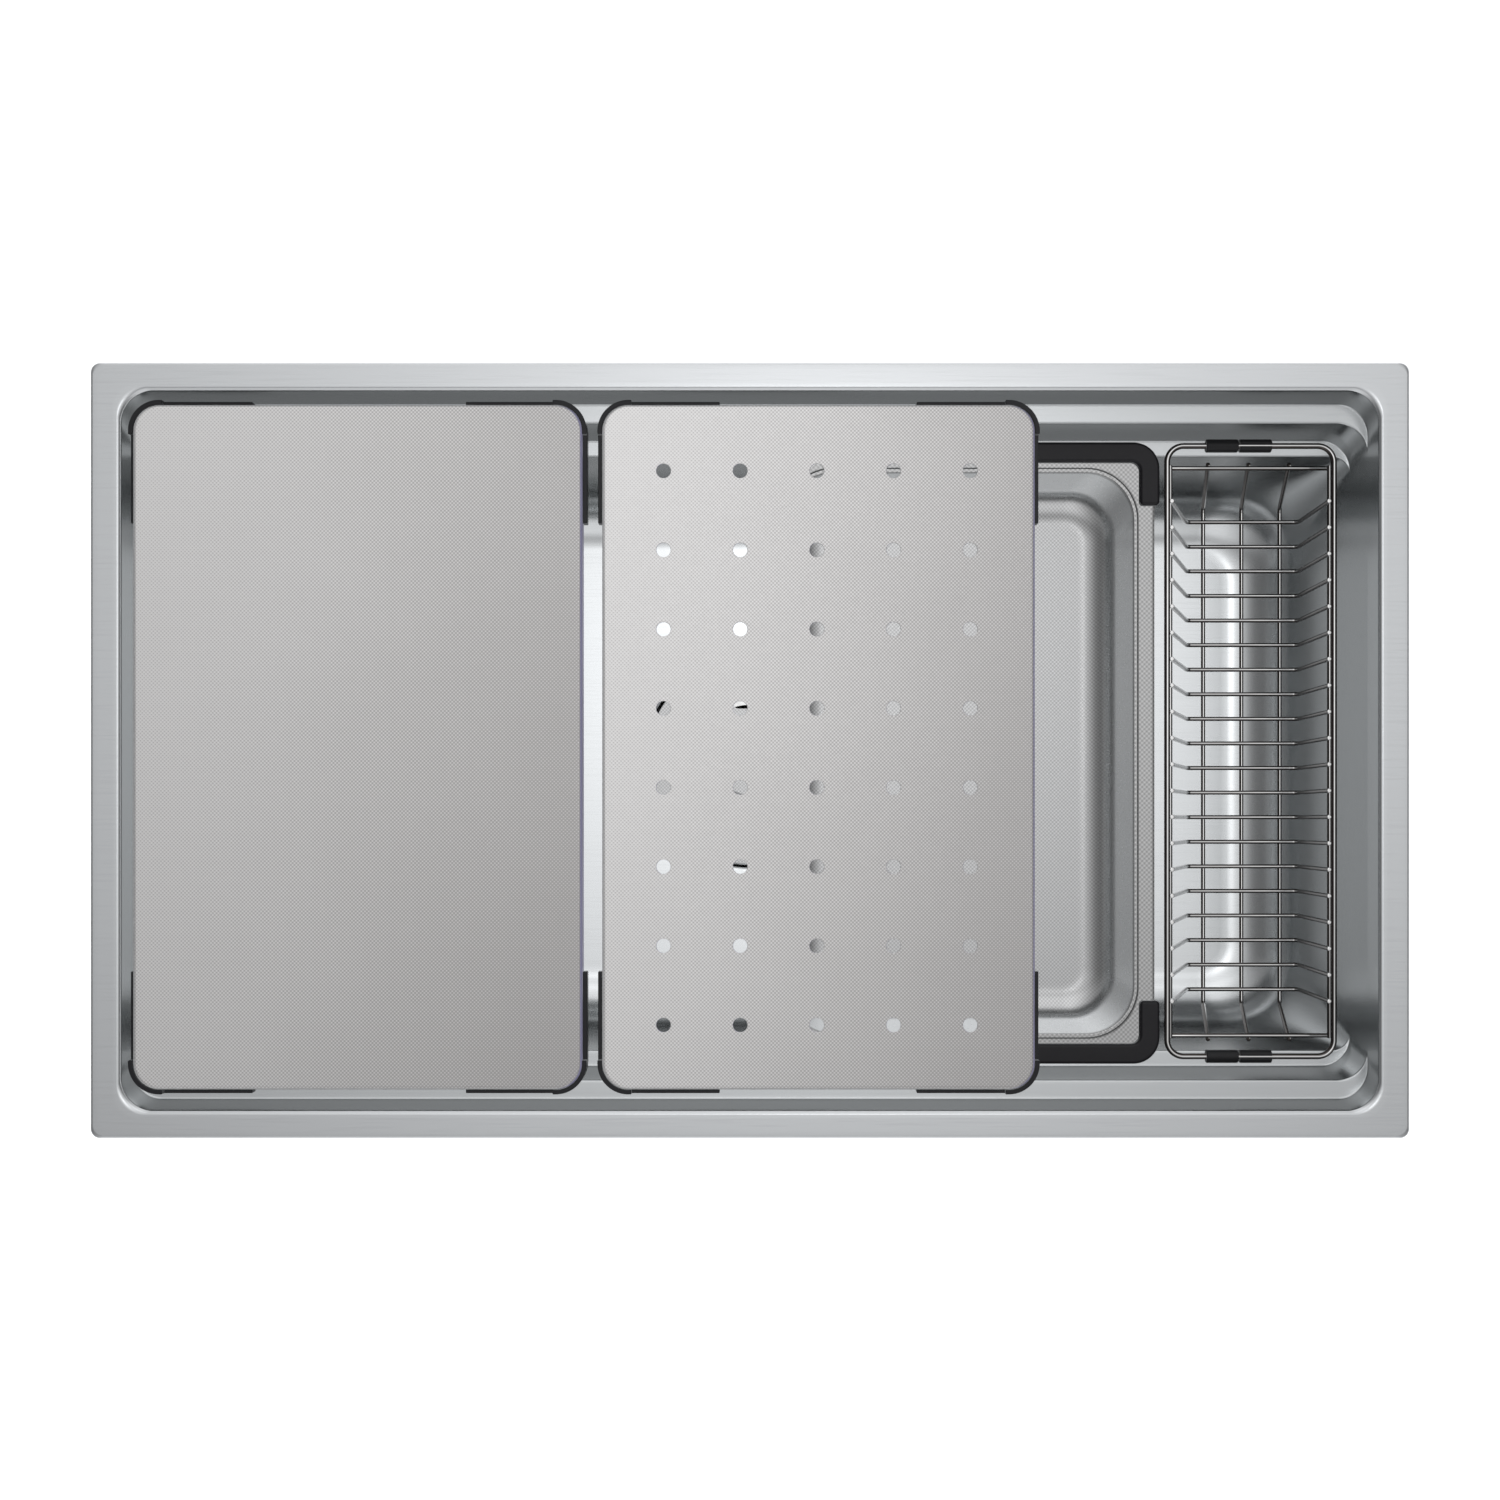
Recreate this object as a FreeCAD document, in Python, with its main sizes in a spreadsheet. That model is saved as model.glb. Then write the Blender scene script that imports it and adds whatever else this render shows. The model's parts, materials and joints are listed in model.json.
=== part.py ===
import FreeCAD, Part

import math
import os

import Sketcher

# Kitchen sink for a worktop cut-out: a pressed steel bowl with two ledges along its front and back,
# two boards on the upper ledge, a tray and a wire basket on the lower ledge, and a basket strainer
# waste under a flush cover.
# The origin is the centre of the rim's underside, where the sink hangs on the worktop.
# X runs to the right, Y to the back and Z up, all in millimetres.

SIZES = {
    # cuts run past the faces that they open by this much
    "overrun": 5.0,
    # gap between pieces that only rest on or slide past each other
    "seat_gap": 0.3,
    # radial gap of a screw or shaft in its own hole
    "running_gap": 0.05,
    # rim and bowl
    "steel_sheet": 1.0,
    "rim_length": 850.0,
    "rim_width": 500.0,
    "rim_height": 3.0,
    "rim_corner_radius": 6.0,
    "rim_edge_radius": 2.0,
    "rim_side_width": 20.0,
    "rim_end_width": 18.0,
    "opening_corner_radius": 20.0,
    "opening_edge_radius": 2.5,
    "board_ledge_depth": 22.0,
    "board_wall_draft": 4.4,
    "board_ledge_width": 12.2,
    "tray_ledge_depth": 52.0,
    "tray_ledge_width": 10.6,
    "lower_corner_radius": 12.0,
    "ledge_fall": 0.3,
    "ledge_edge_radius": 1.2,
    "ledge_root_radius": 1.2,
    "middle_wall_draft": 5.2,
    "bowl_depth": 200.0,
    "side_wall_draft": 9.0,
    "end_wall_draft": 4.6,
    "bowl_corner_radius": 60.0,
    "bowl_floor_radius": 36.0,
    "well_radius": 80.0,
    "well_depth": 14.0,
    "well_edge_radius": 3.0,
    "outlet_hole_radius": 45.5,
    # foam strip under the rim
    "seal_width": 7.0,
    "seal_inset": 1.0,
    # rubber damping pads under the floor
    "pad_length_share": 0.26,
    "pad_width_share": 0.6,
    "pad_distance_share": 0.265,
    "pad_thickness": 3.0,
    "pad_corner_radius": 9.0,
    # rails on the outside of the walls, with the clips and screws that hold the sink down
    "rail_sheet": 1.2,
    "rail_height": 12.0,
    "rail_drop": 4.0,
    "rail_lip": 3.5,
    "long_rail_share": 0.79,
    "short_rail_share": 0.65,
    "clip_sheet": 1.5,
    "clip_width": 18.0,
    "clip_tab_gap": 0.2,
    "clip_arm_room": 14.0,
    "clip_arm_reach": 11.0,
    "clip_spacing_share": 0.32,
    "worktop_thickness": 28.0,
    "screw_radius": 2.5,
    "screw_reach": 6.5,
    "screw_length": 30.0,
    "screw_head_radius": 4.0,
    "screw_head_height": 3.0,
    # waste fitting
    "top_seal_thickness": 1.5,
    "top_seal_inner_radius": 46.0,
    "top_seal_outer_radius": 56.0,
    "drain_flange_radius": 57.5,
    "drain_flange_thickness": 2.0,
    "drain_cup_radius": 44.5,
    "drain_wall": 1.5,
    "drain_cup_depth": 52.0,
    "drain_cup_fall": 4.0,
    "drain_neck_radius": 24.0,
    "drain_neck_length": 22.0,
    "gasket_thickness": 3.0,
    "gasket_radius": 60.0,
    "fibre_thickness": 1.5,
    "fibre_radius": 58.0,
    "locknut_height": 11.0,
    "locknut_radius": 58.0,
    "locknut_lug_radius": 64.0,
    "locknut_lug_width": 14.0,
    "locknut_lug_count": 6,
    "tail_radius": 20.0,
    "tail_wall": 1.5,
    "tail_relief": 0.5,
    "tail_length": 52.0,
    "tail_flange_radius": 23.5,
    "tail_flange_thickness": 2.0,
    "tail_washer_thickness": 2.0,
    "coupling_radius": 30.0,
    "coupling_height": 20.0,
    "coupling_lip": 2.5,
    "coupling_flat_count": 8,
    # strainer that lifts in the waste
    "strainer_radius": 40.5,
    "strainer_sheet": 1.0,
    "strainer_height": 42.0,
    "strainer_foot": 6.0,
    "strainer_slot_count": 12,
    "strainer_slot_width": 6.0,
    "strainer_slot_margin": 7.0,
    "stopper_radius": 27.0,
    "stopper_hub_radius": 8.0,
    "stopper_lip": 2.0,
    "knob_stem_radius": 3.5,
    "knob_radius": 12.0,
    "knob_height": 6.0,
    "knob_top_drop": 12.5,
    # cover over the waste
    "cover_radius": 78.0,
    "cover_thickness": 1.5,
    "cover_edge_bevel": 0.5,
    "cover_ring_radius": 28.5,
    "cover_ring_width": 6.0,
    "cover_ring_height": 0.8,
    "cover_leg_radius": 4.0,
    "cover_leg_distance": 66.0,
    "cover_leg_count": 3,
    "cover_slot_length": 26.0,
    "cover_slot_width": 9.0,
    "cover_slot_round_share": 0.49,
    "cover_slot_distance": 44.0,
    # boards and their corner guards
    "plain_board_share": 0.359,
    "holed_board_share": 0.346,
    "board_side_gap": 5.5,
    "board_end_gap": 10.3,
    "board_spacing": 12.95,
    "board_offset": 2.4,
    "board_top_drop": 6.0,
    "board_sheet": 1.2,
    "board_corner_radius": 17.0,
    "board_edge_radius": 2.2,
    "hole_radius": 4.65,
    "hole_pitch_across_share": 0.177,
    "hole_pitch_along_share": 0.1155,
    "hole_count_across": 5,
    "hole_count_along": 8,
    "hole_offset_across": -1.1,
    "hole_offset_along": -0.5,
    "guard_thickness": 3.0,
    "guard_corner_reach": 19.0,
    "guard_leg_thickness": 3.0,
    "guard_leg_height": 8.0,
    "guard_leg_reach": 76.0,
    "guard_foot_thickness": 2.0,
    "guard_foot_outset": 1.0,
    "guard_foot_depth": 9.0,
    # tray with its two handles
    "tray_length_share": 0.322,
    "tray_end_gap": 30.0,
    "tray_basket_gap": 8.4,
    "tray_flange_border": 14.0,
    "tray_flange_radius": 8.0,
    "tray_sheet": 0.8,
    "tray_bead_radius": 32.0,
    "tray_bead_thickness": 3.0,
    "tray_bead_height": 1.2,
    "tray_bead_round_share": 0.9,
    "tray_depth": 50.0,
    "tray_wall_draft": 8.0,
    "tray_floor_radius": 18.0,
    "handle_overhang": 2.5,
    "handle_end_gap": 24.5,
    "handle_bar": 13.2,
    "handle_leg": 13.0,
    "handle_leg_reach": 42.0,
    "handle_height": 9.7,
    "handle_outer_radius": 17.5,
    "handle_inner_radius": 6.0,
    "handle_end_radius": 2.5,
    "handle_edge_radius": 2.0,
    "handle_under_flange": 3.0,
    # wire basket
    "basket_length_share": 0.1379,
    "basket_side_gap": 13.9,
    "basket_end_gap": 27.6,
    "basket_offset": 1.4,
    "basket_corner_radius": 11.0,
    "rim_wire": 4.0,
    "rib_wire": 3.0,
    "weld_depth": 0.3,
    "sleeve_radius": 4.4,
    "sleeve_length": 21.2,
    "sleeve_spacing": 22.4,
    "sleeve_place_share": 0.427,
    "wire_side_count": 8,
    "rib_count": 20,
    "rib_pitch_share": 0.038,
    "rib_rise": 1.0,
    "rib_bend_radius": 4.0,
    "basket_height": 86.0,
    "basket_left_slope": 30.5,
    "basket_right_flare": 6.0,
    "lower_rail_drop": 10.0,
    "end_wire_inset": 12.5,
    "long_wire_slope": 22.7,
    "long_wire_count": 3,
    "long_wire_pitch_share": 0.246,
    "long_wire_bend_radius": 5.0,
}

doc = FreeCAD.newDocument("kitchen_sink")


class Length:
    """A size with its number and the spreadsheet expression that gives it."""

    def __init__(self, number, text):
        self.number = float(number)
        self.text = text

    def __float__(self):
        return self.number

    def __add__(self, other):
        other = as_length(other)
        return Length(self.number + other.number, f"({self.text} + {other.text})")

    def __sub__(self, other):
        other = as_length(other)
        return Length(self.number - other.number, f"({self.text} - {other.text})")

    def __mul__(self, other):
        other = as_length(other)
        return Length(self.number * other.number, f"({self.text} * {other.text})")

    def __truediv__(self, other):
        other = as_length(other)
        return Length(self.number / other.number, f"({self.text} / {other.text})")

    def __neg__(self):
        return Length(-self.number, f"(0 - {self.text})")

    def root(self):
        return Length(math.sqrt(self.number), f"sqrt({self.text})")

    def __radd__(self, other):
        return as_length(other) + self

    def __rsub__(self, other):
        return as_length(other) - self

    def __rmul__(self, other):
        return as_length(other) * self


def as_length(item):
    """A Length as it is, or a plain number turned into one."""
    if isinstance(item, Length):
        return item
    return Length(item, f"({item:.12g})")


class SizeTable:
    """The spreadsheet of driving sizes, read as attributes; sizes that follow are set beside them."""

    def __init__(self, table):
        self.sheet = doc.addObject("Spreadsheet::Sheet", "sizes")
        self.table = table
        for row, (name, number) in enumerate(table.items(), start=1):
            self.sheet.set(f"A{row}", name)
            self.sheet.set(f"B{row}", str(number))
            self.sheet.setAlias(f"B{row}", name)
        doc.recompute()

    def __getattr__(self, name):
        return Length(self.table[name], f"sizes.{name}")


size = SizeTable(SIZES)
nodes = []
# edges this near to a height or a line count as lying on it
same_place = 1e-4

# Sizes that follow from the rim: the opening, and what fills its length and its width

size.opening_length = size.rim_length - size.rim_side_width * 2
size.opening_width = size.rim_width - size.rim_end_width * 2
size.pad_length = size.opening_length * size.pad_length_share
size.pad_width = size.opening_width * size.pad_width_share
size.pad_distance = size.opening_length * size.pad_distance_share
size.long_rail_length = size.opening_length * size.long_rail_share
size.short_rail_length = size.opening_width * size.short_rail_share
size.clip_spacing = size.opening_length * size.clip_spacing_share
size.clip_arm_height = size.worktop_thickness + size.clip_arm_room
size.plain_board_length = size.opening_length * size.plain_board_share
size.holed_board_length = size.opening_length * size.holed_board_share
size.board_left = size.board_side_gap - size.opening_length / 2
size.plain_board_centre = size.board_left + size.plain_board_length / 2
size.holed_board_left = size.board_left + size.plain_board_length + size.board_spacing
size.holed_board_centre = size.holed_board_left + size.holed_board_length / 2
size.board_width = size.opening_width - size.board_end_gap * 2
size.board_height = size.board_ledge_depth - size.board_top_drop - size.guard_foot_thickness - size.seat_gap
size.hole_pitch_across = size.holed_board_length * size.hole_pitch_across_share
size.hole_pitch_along = size.board_width * size.hole_pitch_along_share
size.basket_length = size.opening_length * size.basket_length_share
size.basket_right = size.opening_length / 2 - size.basket_side_gap
size.basket_left = size.basket_right - size.basket_length
size.basket_width = size.opening_width - size.basket_end_gap * 2
size.sleeve_centre = size.basket_left + size.basket_length * size.sleeve_place_share
size.rib_pitch = size.opening_width * size.rib_pitch_share
size.end_wire_width = size.basket_width - size.end_wire_inset * 2
size.long_wire_reach = size.end_wire_width / 2 - size.long_wire_slope
size.long_wire_pitch = size.basket_length * size.long_wire_pitch_share
size.tray_flange_length = size.opening_length * size.tray_length_share
size.tray_flange_width = size.opening_width - size.tray_end_gap * 2
size.tray_centre = size.basket_left - size.tray_basket_gap - size.tray_flange_length / 2
size.tray_bead_length = size.tray_flange_length - size.tray_flange_border * 2
size.tray_bead_width = size.tray_flange_width - size.tray_flange_border * 2
size.handle_length = size.tray_flange_length + size.handle_overhang * 2
size.handle_outer_width = size.opening_width - size.handle_end_gap * 2


def bind(item, field, length):
    """Ties one property of a document object to the sheet."""
    item.setExpression(field, as_length(length).text)


def place(item, x=0, y=0, z=0):
    """Ties an object's position to the sheet."""
    for axis, length in zip("xyz", (x, y, z)):
        bind(item, f".Placement.Base.{axis}", length)


def node(item, name):
    """Names an object as a sub-part that gets its own file."""
    item.Label = name
    nodes.append(item)
    return item


def new_body(name, many=False):
    """An empty body, which may hold several separate solids if many is set."""
    body = doc.addObject("PartDesign::Body", name)
    if many:
        body.AllowCompound = True
    return body


def new_sketch(body, name, role="XY_Plane", lift=0):
    """A sketch on one of the body's own origin planes, moved along the plane's normal by lift."""
    sketch = body.newObject("Sketcher::SketchObject", name)
    plane = [item for item in body.Origin.OriginFeatures if item.Role == role][0]
    sketch.AttachmentSupport = [(plane, "")]
    sketch.MapMode = "FlatFace"
    bind(sketch, ".AttachmentOffset.Base.z", lift)
    return sketch


def fix_number(sketch, kind, *where):
    """Adds a dimension to a sketch whose last item is the Length that drives it."""
    length = where[-1]
    index = sketch.addConstraint(
        Sketcher.Constraint(kind, *where[:-1], float(length))
    )
    bind(sketch, f"Constraints[{index}]", length)


def fix_point(sketch, item, end, x, y):
    """Gives one point of a sketch its coordinates."""
    fix_number(sketch, "DistanceX", -1, 1, item, end, as_length(x))
    fix_number(sketch, "DistanceY", -1, 1, item, end, as_length(y))


def draw_circle(sketch, x, y, radius):
    """A circle with its centre and radius tied to the sheet."""
    x, y = as_length(x), as_length(y)
    centre = FreeCAD.Vector(float(x), float(y), 0)
    item = sketch.addGeometry(Part.Circle(centre, FreeCAD.Vector(0, 0, 1), float(radius)))
    fix_point(sketch, item, 3, x, y)
    fix_number(sketch, "Radius", item, radius)


def draw_polygon(sketch, points):
    """A closed outline of straight lines through the points."""
    points = [(as_length(x), as_length(y)) for x, y in points]
    corners = [FreeCAD.Vector(float(x), float(y), 0) for x, y in points]
    count = len(corners)
    lines = [
        sketch.addGeometry(Part.LineSegment(corners[i], corners[(i + 1) % count]))
        for i in range(count)
    ]
    for i in range(count):
        sketch.addConstraint(
            Sketcher.Constraint("Coincident", lines[i], 2, lines[(i + 1) % count], 1)
        )
        fix_point(sketch, lines[i], 1, *points[i])


def draw_rounded_rectangle(sketch, length, width, radius, x=0, y=0):
    """A rectangle with equal round corners about a centre point."""
    length, width, radius = as_length(length), as_length(width), as_length(radius)
    x, y = as_length(x), as_length(y)
    half_x, half_y, r = float(length) / 2, float(width) / 2, float(radius)
    middle = FreeCAD.Vector(float(x), float(y), 0)

    def at(px, py):
        return middle + FreeCAD.Vector(px, py, 0)

    inner_x, inner_y = half_x - r, half_y - r
    front = sketch.addGeometry(Part.LineSegment(at(-inner_x, -half_y), at(inner_x, -half_y)))
    right = sketch.addGeometry(Part.LineSegment(at(half_x, -inner_y), at(half_x, inner_y)))
    back = sketch.addGeometry(Part.LineSegment(at(inner_x, half_y), at(-inner_x, half_y)))
    left = sketch.addGeometry(Part.LineSegment(at(-half_x, inner_y), at(-half_x, -inner_y)))
    sides = [front, right, back, left]
    corners = [(inner_x, -inner_y), (inner_x, inner_y), (-inner_x, inner_y), (-inner_x, -inner_y)]
    arcs = []
    for i, (cx, cy) in enumerate(corners):
        circle = Part.Circle(at(cx, cy), FreeCAD.Vector(0, 0, 1), r)
        start = (i - 1) * math.pi / 2
        arcs.append(sketch.addGeometry(Part.ArcOfCircle(circle, start, start + math.pi / 2)))
    for i, arc in enumerate(arcs):
        after = sides[(i + 1) % len(sides)]
        sketch.addConstraint(Sketcher.Constraint("Tangent", sides[i], 2, arc, 1))
        sketch.addConstraint(Sketcher.Constraint("Tangent", arc, 2, after, 1))
        if i:
            sketch.addConstraint(Sketcher.Constraint("Equal", arcs[0], arc))
    sketch.addConstraint(Sketcher.Constraint("Horizontal", front))
    sketch.addConstraint(Sketcher.Constraint("Horizontal", back))
    sketch.addConstraint(Sketcher.Constraint("Vertical", left))
    sketch.addConstraint(Sketcher.Constraint("Vertical", right))
    fix_number(sketch, "Radius", arcs[0], radius)
    fix_number(sketch, "DistanceX", -1, 1, left, 1, x - length / 2)
    fix_number(sketch, "DistanceX", -1, 1, right, 1, x + length / 2)
    fix_number(sketch, "DistanceY", -1, 1, front, 1, y - width / 2)
    fix_number(sketch, "DistanceY", -1, 1, back, 1, y + width / 2)


def draw_bent_path(sketch, points, radius):
    """An open line through the points, with a tangent arc at each inner point."""
    points = [(as_length(x), as_length(y)) for x, y in points]
    spots = [FreeCAD.Vector(float(x), float(y), 0) for x, y in points]
    r = float(radius)
    starts, ends, centres = [spots[0]], [], []
    for before, here, after in zip(spots, spots[1:], spots[2:]):
        u = (before - here).normalize()
        v = (after - here).normalize()
        half = math.acos(u.dot(v)) / 2
        reach = r / math.tan(half)
        middle = (u + v).normalize()
        ends.append(here + u * reach)
        starts.append(here + v * reach)
        centres.append(here + middle * (r / math.sin(half)))
    ends.append(spots[-1])
    lines = [sketch.addGeometry(Part.LineSegment(a, b)) for a, b in zip(starts, ends)]
    fix_point(sketch, lines[0], 1, *points[0])
    fix_point(sketch, lines[-1], 2, *points[-1])
    for i, centre in enumerate(centres):
        a, b = ends[i] - centre, starts[i + 1] - centre
        left_turn = a.cross(b).z > 0
        first, last = (a, b) if left_turn else (b, a)
        circle = Part.Circle(centre, FreeCAD.Vector(0, 0, 1), r)
        angles = [math.atan2(first.y, first.x), math.atan2(last.y, last.x)]
        arc = sketch.addGeometry(Part.ArcOfCircle(circle, *angles))
        come, go = (1, 2) if left_turn else (2, 1)
        sketch.addConstraint(Sketcher.Constraint("Tangent", lines[i], 2, arc, come))
        sketch.addConstraint(Sketcher.Constraint("Tangent", arc, go, lines[i + 1], 1))
        fix_number(sketch, "Radius", arc, as_length(radius))
        corner = sketch.addGeometry(Part.Point(spots[i + 1]), True)
        fix_point(sketch, corner, 1, *points[i + 1])
        sketch.addConstraint(Sketcher.Constraint("PointOnObject", corner, 1, lines[i]))
        sketch.addConstraint(Sketcher.Constraint("PointOnObject", corner, 1, lines[i + 1]))


def draw_wire_section(sketch, x, y, diameter):
    """The section of a wire as a many-sided outline, for wires that repeat."""
    sides = SIZES["wire_side_count"]
    turn = 2 * math.pi / sides
    shares = [(math.cos((i + 0.5) * turn) / 2, math.sin((i + 0.5) * turn) / 2) for i in range(sides)]
    draw_polygon(sketch, [(x + diameter * a, y + diameter * b) for a, b in shares])


def pad(body, sketch, height, down=False, name="pad"):
    """Material from a sketch along its normal, or against it if down is set."""
    feature = body.newObject("PartDesign::Pad", name)
    feature.Profile = sketch
    feature.Reversed = down
    bind(feature, "Length", height)
    return feature


def pocket(body, sketch, depth, up=False, name="pocket"):
    """A cut from a sketch against its normal, or along it if up is set."""
    feature = body.newObject("PartDesign::Pocket", name)
    feature.Profile = sketch
    feature.Reversed = up
    bind(feature, "Length", depth)
    return feature


def loft(body, sketches, cut=False, name="loft"):
    """A ruled loft through sketches, added or cut."""
    kind = "PartDesign::SubtractiveLoft" if cut else "PartDesign::AdditiveLoft"
    feature = body.newObject(kind, name)
    feature.Profile = sketches[0]
    feature.Sections = sketches[1:]
    feature.Ruled = True
    return feature


def cut_with(body, tool, name):
    """Cuts the space of another body out of this one."""
    feature = body.newObject("PartDesign::Boolean", name)
    feature.Type = "Cut"
    feature.setObjects([tool])
    return feature


def revolve(body, sketch, name="turned"):
    """A full turn of a sketch on the XZ plane about the vertical axis."""
    feature = body.newObject("PartDesign::Revolution", name)
    feature.Profile = sketch
    feature.ReferenceAxis = (sketch, ["V_Axis"])
    feature.Angle = 360.0
    return feature


def sweep(body, profile, path, name="swept"):
    """A section carried along a path."""
    feature = body.newObject("PartDesign::AdditivePipe", name)
    feature.Profile = profile
    feature.Spine = path
    return feature


def fillet(body, base, edges, radius, name="rounding"):
    """Rounds the named edges of the body's last feature."""
    feature = body.newObject("PartDesign::Fillet", name)
    feature.Base = (base, edges)
    bind(feature, "Radius", radius)
    return feature


def level_edges(feature, height, test=None):
    """Names of the edges that lie at one height, kept if their middle passes the test."""
    found = []
    for i, edge in enumerate(feature.Shape.Edges, start=1):
        box = edge.BoundBox
        if max(abs(box.ZMin - float(height)), abs(box.ZMax - float(height))) > same_place:
            continue
        if test is None or test(box):
            found.append(f"Edge{i}")
    return found


def ring(name, inner, outer, bottom, height):
    """A flat ring about the vertical axis, as a sub-part."""
    body = new_body(name)
    sketch = new_sketch(body, name + "_outline", lift=bottom)
    draw_circle(sketch, 0, 0, outer)
    draw_circle(sketch, 0, 0, inner)
    pad(body, sketch, height, name=name + "_pad")
    return node(body, name)


# Heights that several pieces share

rim_top = size.rim_height
floor_top = rim_top - size.bowl_depth
well_floor = floor_top - size.well_depth
tray_ledge = rim_top - size.tray_ledge_depth
bowl_underside = well_floor - size.steel_sheet
opening_half_length = size.opening_length / 2
opening_half_width = size.opening_width / 2
board_wall_foot = opening_half_width - size.board_wall_draft
middle_half_width = board_wall_foot - size.board_ledge_width
lower_half_width = middle_half_width - size.middle_wall_draft - size.tray_ledge_width
# three points of a quarter round, as shares of its radius out from one wall and down from the other
round_share = 1 - math.sqrt(0.5)
quarter_round = ((1, 0), (round_share, round_share), (0, 1))


def bowl_section_table():
    """Half length, half width, corner radius and depth of each outline of the bowl's inner surface."""
    corner, low_corner = size.opening_corner_radius, size.lower_corner_radius
    table = []

    def straight(depth):
        return opening_half_length

    def slanted(depth):
        below = (depth - size.board_ledge_depth) / (size.bowl_depth - size.board_ledge_depth)
        return opening_half_length - size.side_wall_draft * below

    def wall_root(half_width, ledge_depth, length_of):
        for inward, up in reversed(quarter_round):
            depth = ledge_depth - size.ledge_root_radius * up
            table.append((length_of(depth), half_width - size.ledge_root_radius * inward, corner, depth))

    def ledge_brink(half_width, ledge_depth, radius):
        for outward, down in quarter_round:
            depth = ledge_depth + size.ledge_fall + size.ledge_edge_radius * down
            table.append((slanted(depth), half_width + size.ledge_edge_radius * outward, radius, depth))

    lip = size.opening_edge_radius
    for outward, down in quarter_round:
        out = lip * outward
        table.append((opening_half_length + out, opening_half_width + out, corner + out, lip * down))
    wall_root(board_wall_foot, size.board_ledge_depth, straight)
    ledge_brink(middle_half_width, size.board_ledge_depth, corner)
    wall_root(middle_half_width - size.middle_wall_draft, size.tray_ledge_depth, slanted)
    ledge_brink(lower_half_width, size.tray_ledge_depth, low_corner)
    floor_half_width = lower_half_width - size.end_wall_draft
    table.append((slanted(size.bowl_depth), floor_half_width, size.bowl_corner_radius, size.bowl_depth))
    return table


def bowl_sketches(body, grow, name, skip):
    """One sketch for each outline, grown by the sheet for the outer surface."""
    sketches = []
    for i, (half_length, half_width, radius, depth) in enumerate(bowl_section_table()[skip:]):
        sketch = new_sketch(body, f"{name}_{i}", lift=rim_top - depth - grow)
        draw_rounded_rectangle(
            sketch, half_length * 2 + grow * 2, half_width * 2 + grow * 2, radius + grow
        )
        sketches.append(sketch)
    return sketches


def bowl_hollow():
    """The space inside the bowl, down to its floor, as a body to cut with."""
    body = new_body("bowl_hollow")
    inner = bowl_sketches(body, as_length(0), "inner_outline", skip=0)
    head = new_sketch(body, "opening_outline", lift=rim_top + size.overrun)
    lip = size.opening_edge_radius * 2
    draw_rounded_rectangle(
        head,
        size.opening_length + lip,
        size.opening_width + lip,
        size.opening_corner_radius + size.opening_edge_radius,
    )
    space = loft(body, [head] + inner, name="bowl_space")
    doc.recompute()
    fillet(body, space, level_edges(space, floor_top), size.bowl_floor_radius, "inner_floor_rounding")
    return body


def sink_bowl():
    """The pressed bowl with its rim, two pairs of ledges and the well round the waste."""
    body = new_body("sink_bowl")
    outline = new_sketch(body, "rim_outline")
    draw_rounded_rectangle(outline, size.rim_length, size.rim_width, size.rim_corner_radius)
    plate = pad(body, outline, size.rim_height, name="rim_plate")
    doc.recompute()
    fillet(body, plate, level_edges(plate, rim_top), size.rim_edge_radius, "rim_rounding")
    hollow = new_sketch(body, "rim_hollow_outline")
    inset = size.steel_sheet * 2
    draw_rounded_rectangle(
        hollow, size.rim_length - inset, size.rim_width - inset, size.rim_corner_radius - size.steel_sheet
    )
    grown = (size.steel_sheet + size.opening_edge_radius) * 2
    draw_rounded_rectangle(
        hollow,
        size.opening_length + grown,
        size.opening_width + grown,
        size.opening_corner_radius + grown / 2,
    )
    pocket(body, hollow, size.rim_height - size.steel_sheet, up=True, name="rim_hollow")
    neck = new_sketch(body, "outer_neck_outline", lift=size.rim_height / 2)
    sheet = size.steel_sheet * 2
    draw_rounded_rectangle(
        neck,
        size.opening_length + sheet,
        size.opening_width + sheet,
        size.opening_corner_radius + size.steel_sheet,
    )
    outer = [neck] + bowl_sketches(body, size.steel_sheet, "outer_outline", skip=2)
    shell = loft(body, outer, name="bowl_outside")
    doc.recompute()
    under = floor_top - size.steel_sheet
    radius = size.bowl_floor_radius + size.steel_sheet
    fillet(body, shell, level_edges(shell, under), radius, "outer_floor_rounding")
    boss = new_sketch(body, "well_outside_outline", lift=under + size.steel_sheet / 2)
    draw_circle(boss, 0, 0, size.well_radius + size.steel_sheet)
    pad(body, boss, size.well_depth + size.steel_sheet / 2, down=True, name="well_outside")
    cut_with(body, bowl_hollow(), "bowl_inside")
    doc.recompute()
    well = new_sketch(body, "well_outline", lift=floor_top)
    draw_circle(well, 0, 0, size.well_radius)
    sunk = pocket(body, well, size.well_depth, name="well")
    doc.recompute()
    fillet(body, sunk, level_edges(sunk, floor_top, is_well_edge), size.well_edge_radius, "well_rounding")
    hole = new_sketch(body, "outlet_hole_outline", lift=well_floor)
    draw_circle(hole, 0, 0, size.outlet_hole_radius)
    pocket(body, hole, size.steel_sheet + size.overrun, name="outlet_hole")
    return node(body, "sink_bowl")


def is_well_edge(box):
    """True for the round edge of the well among the edges at the floor's height."""
    return box.XLength < float(size.well_radius + size.overrun) * 2


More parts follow.
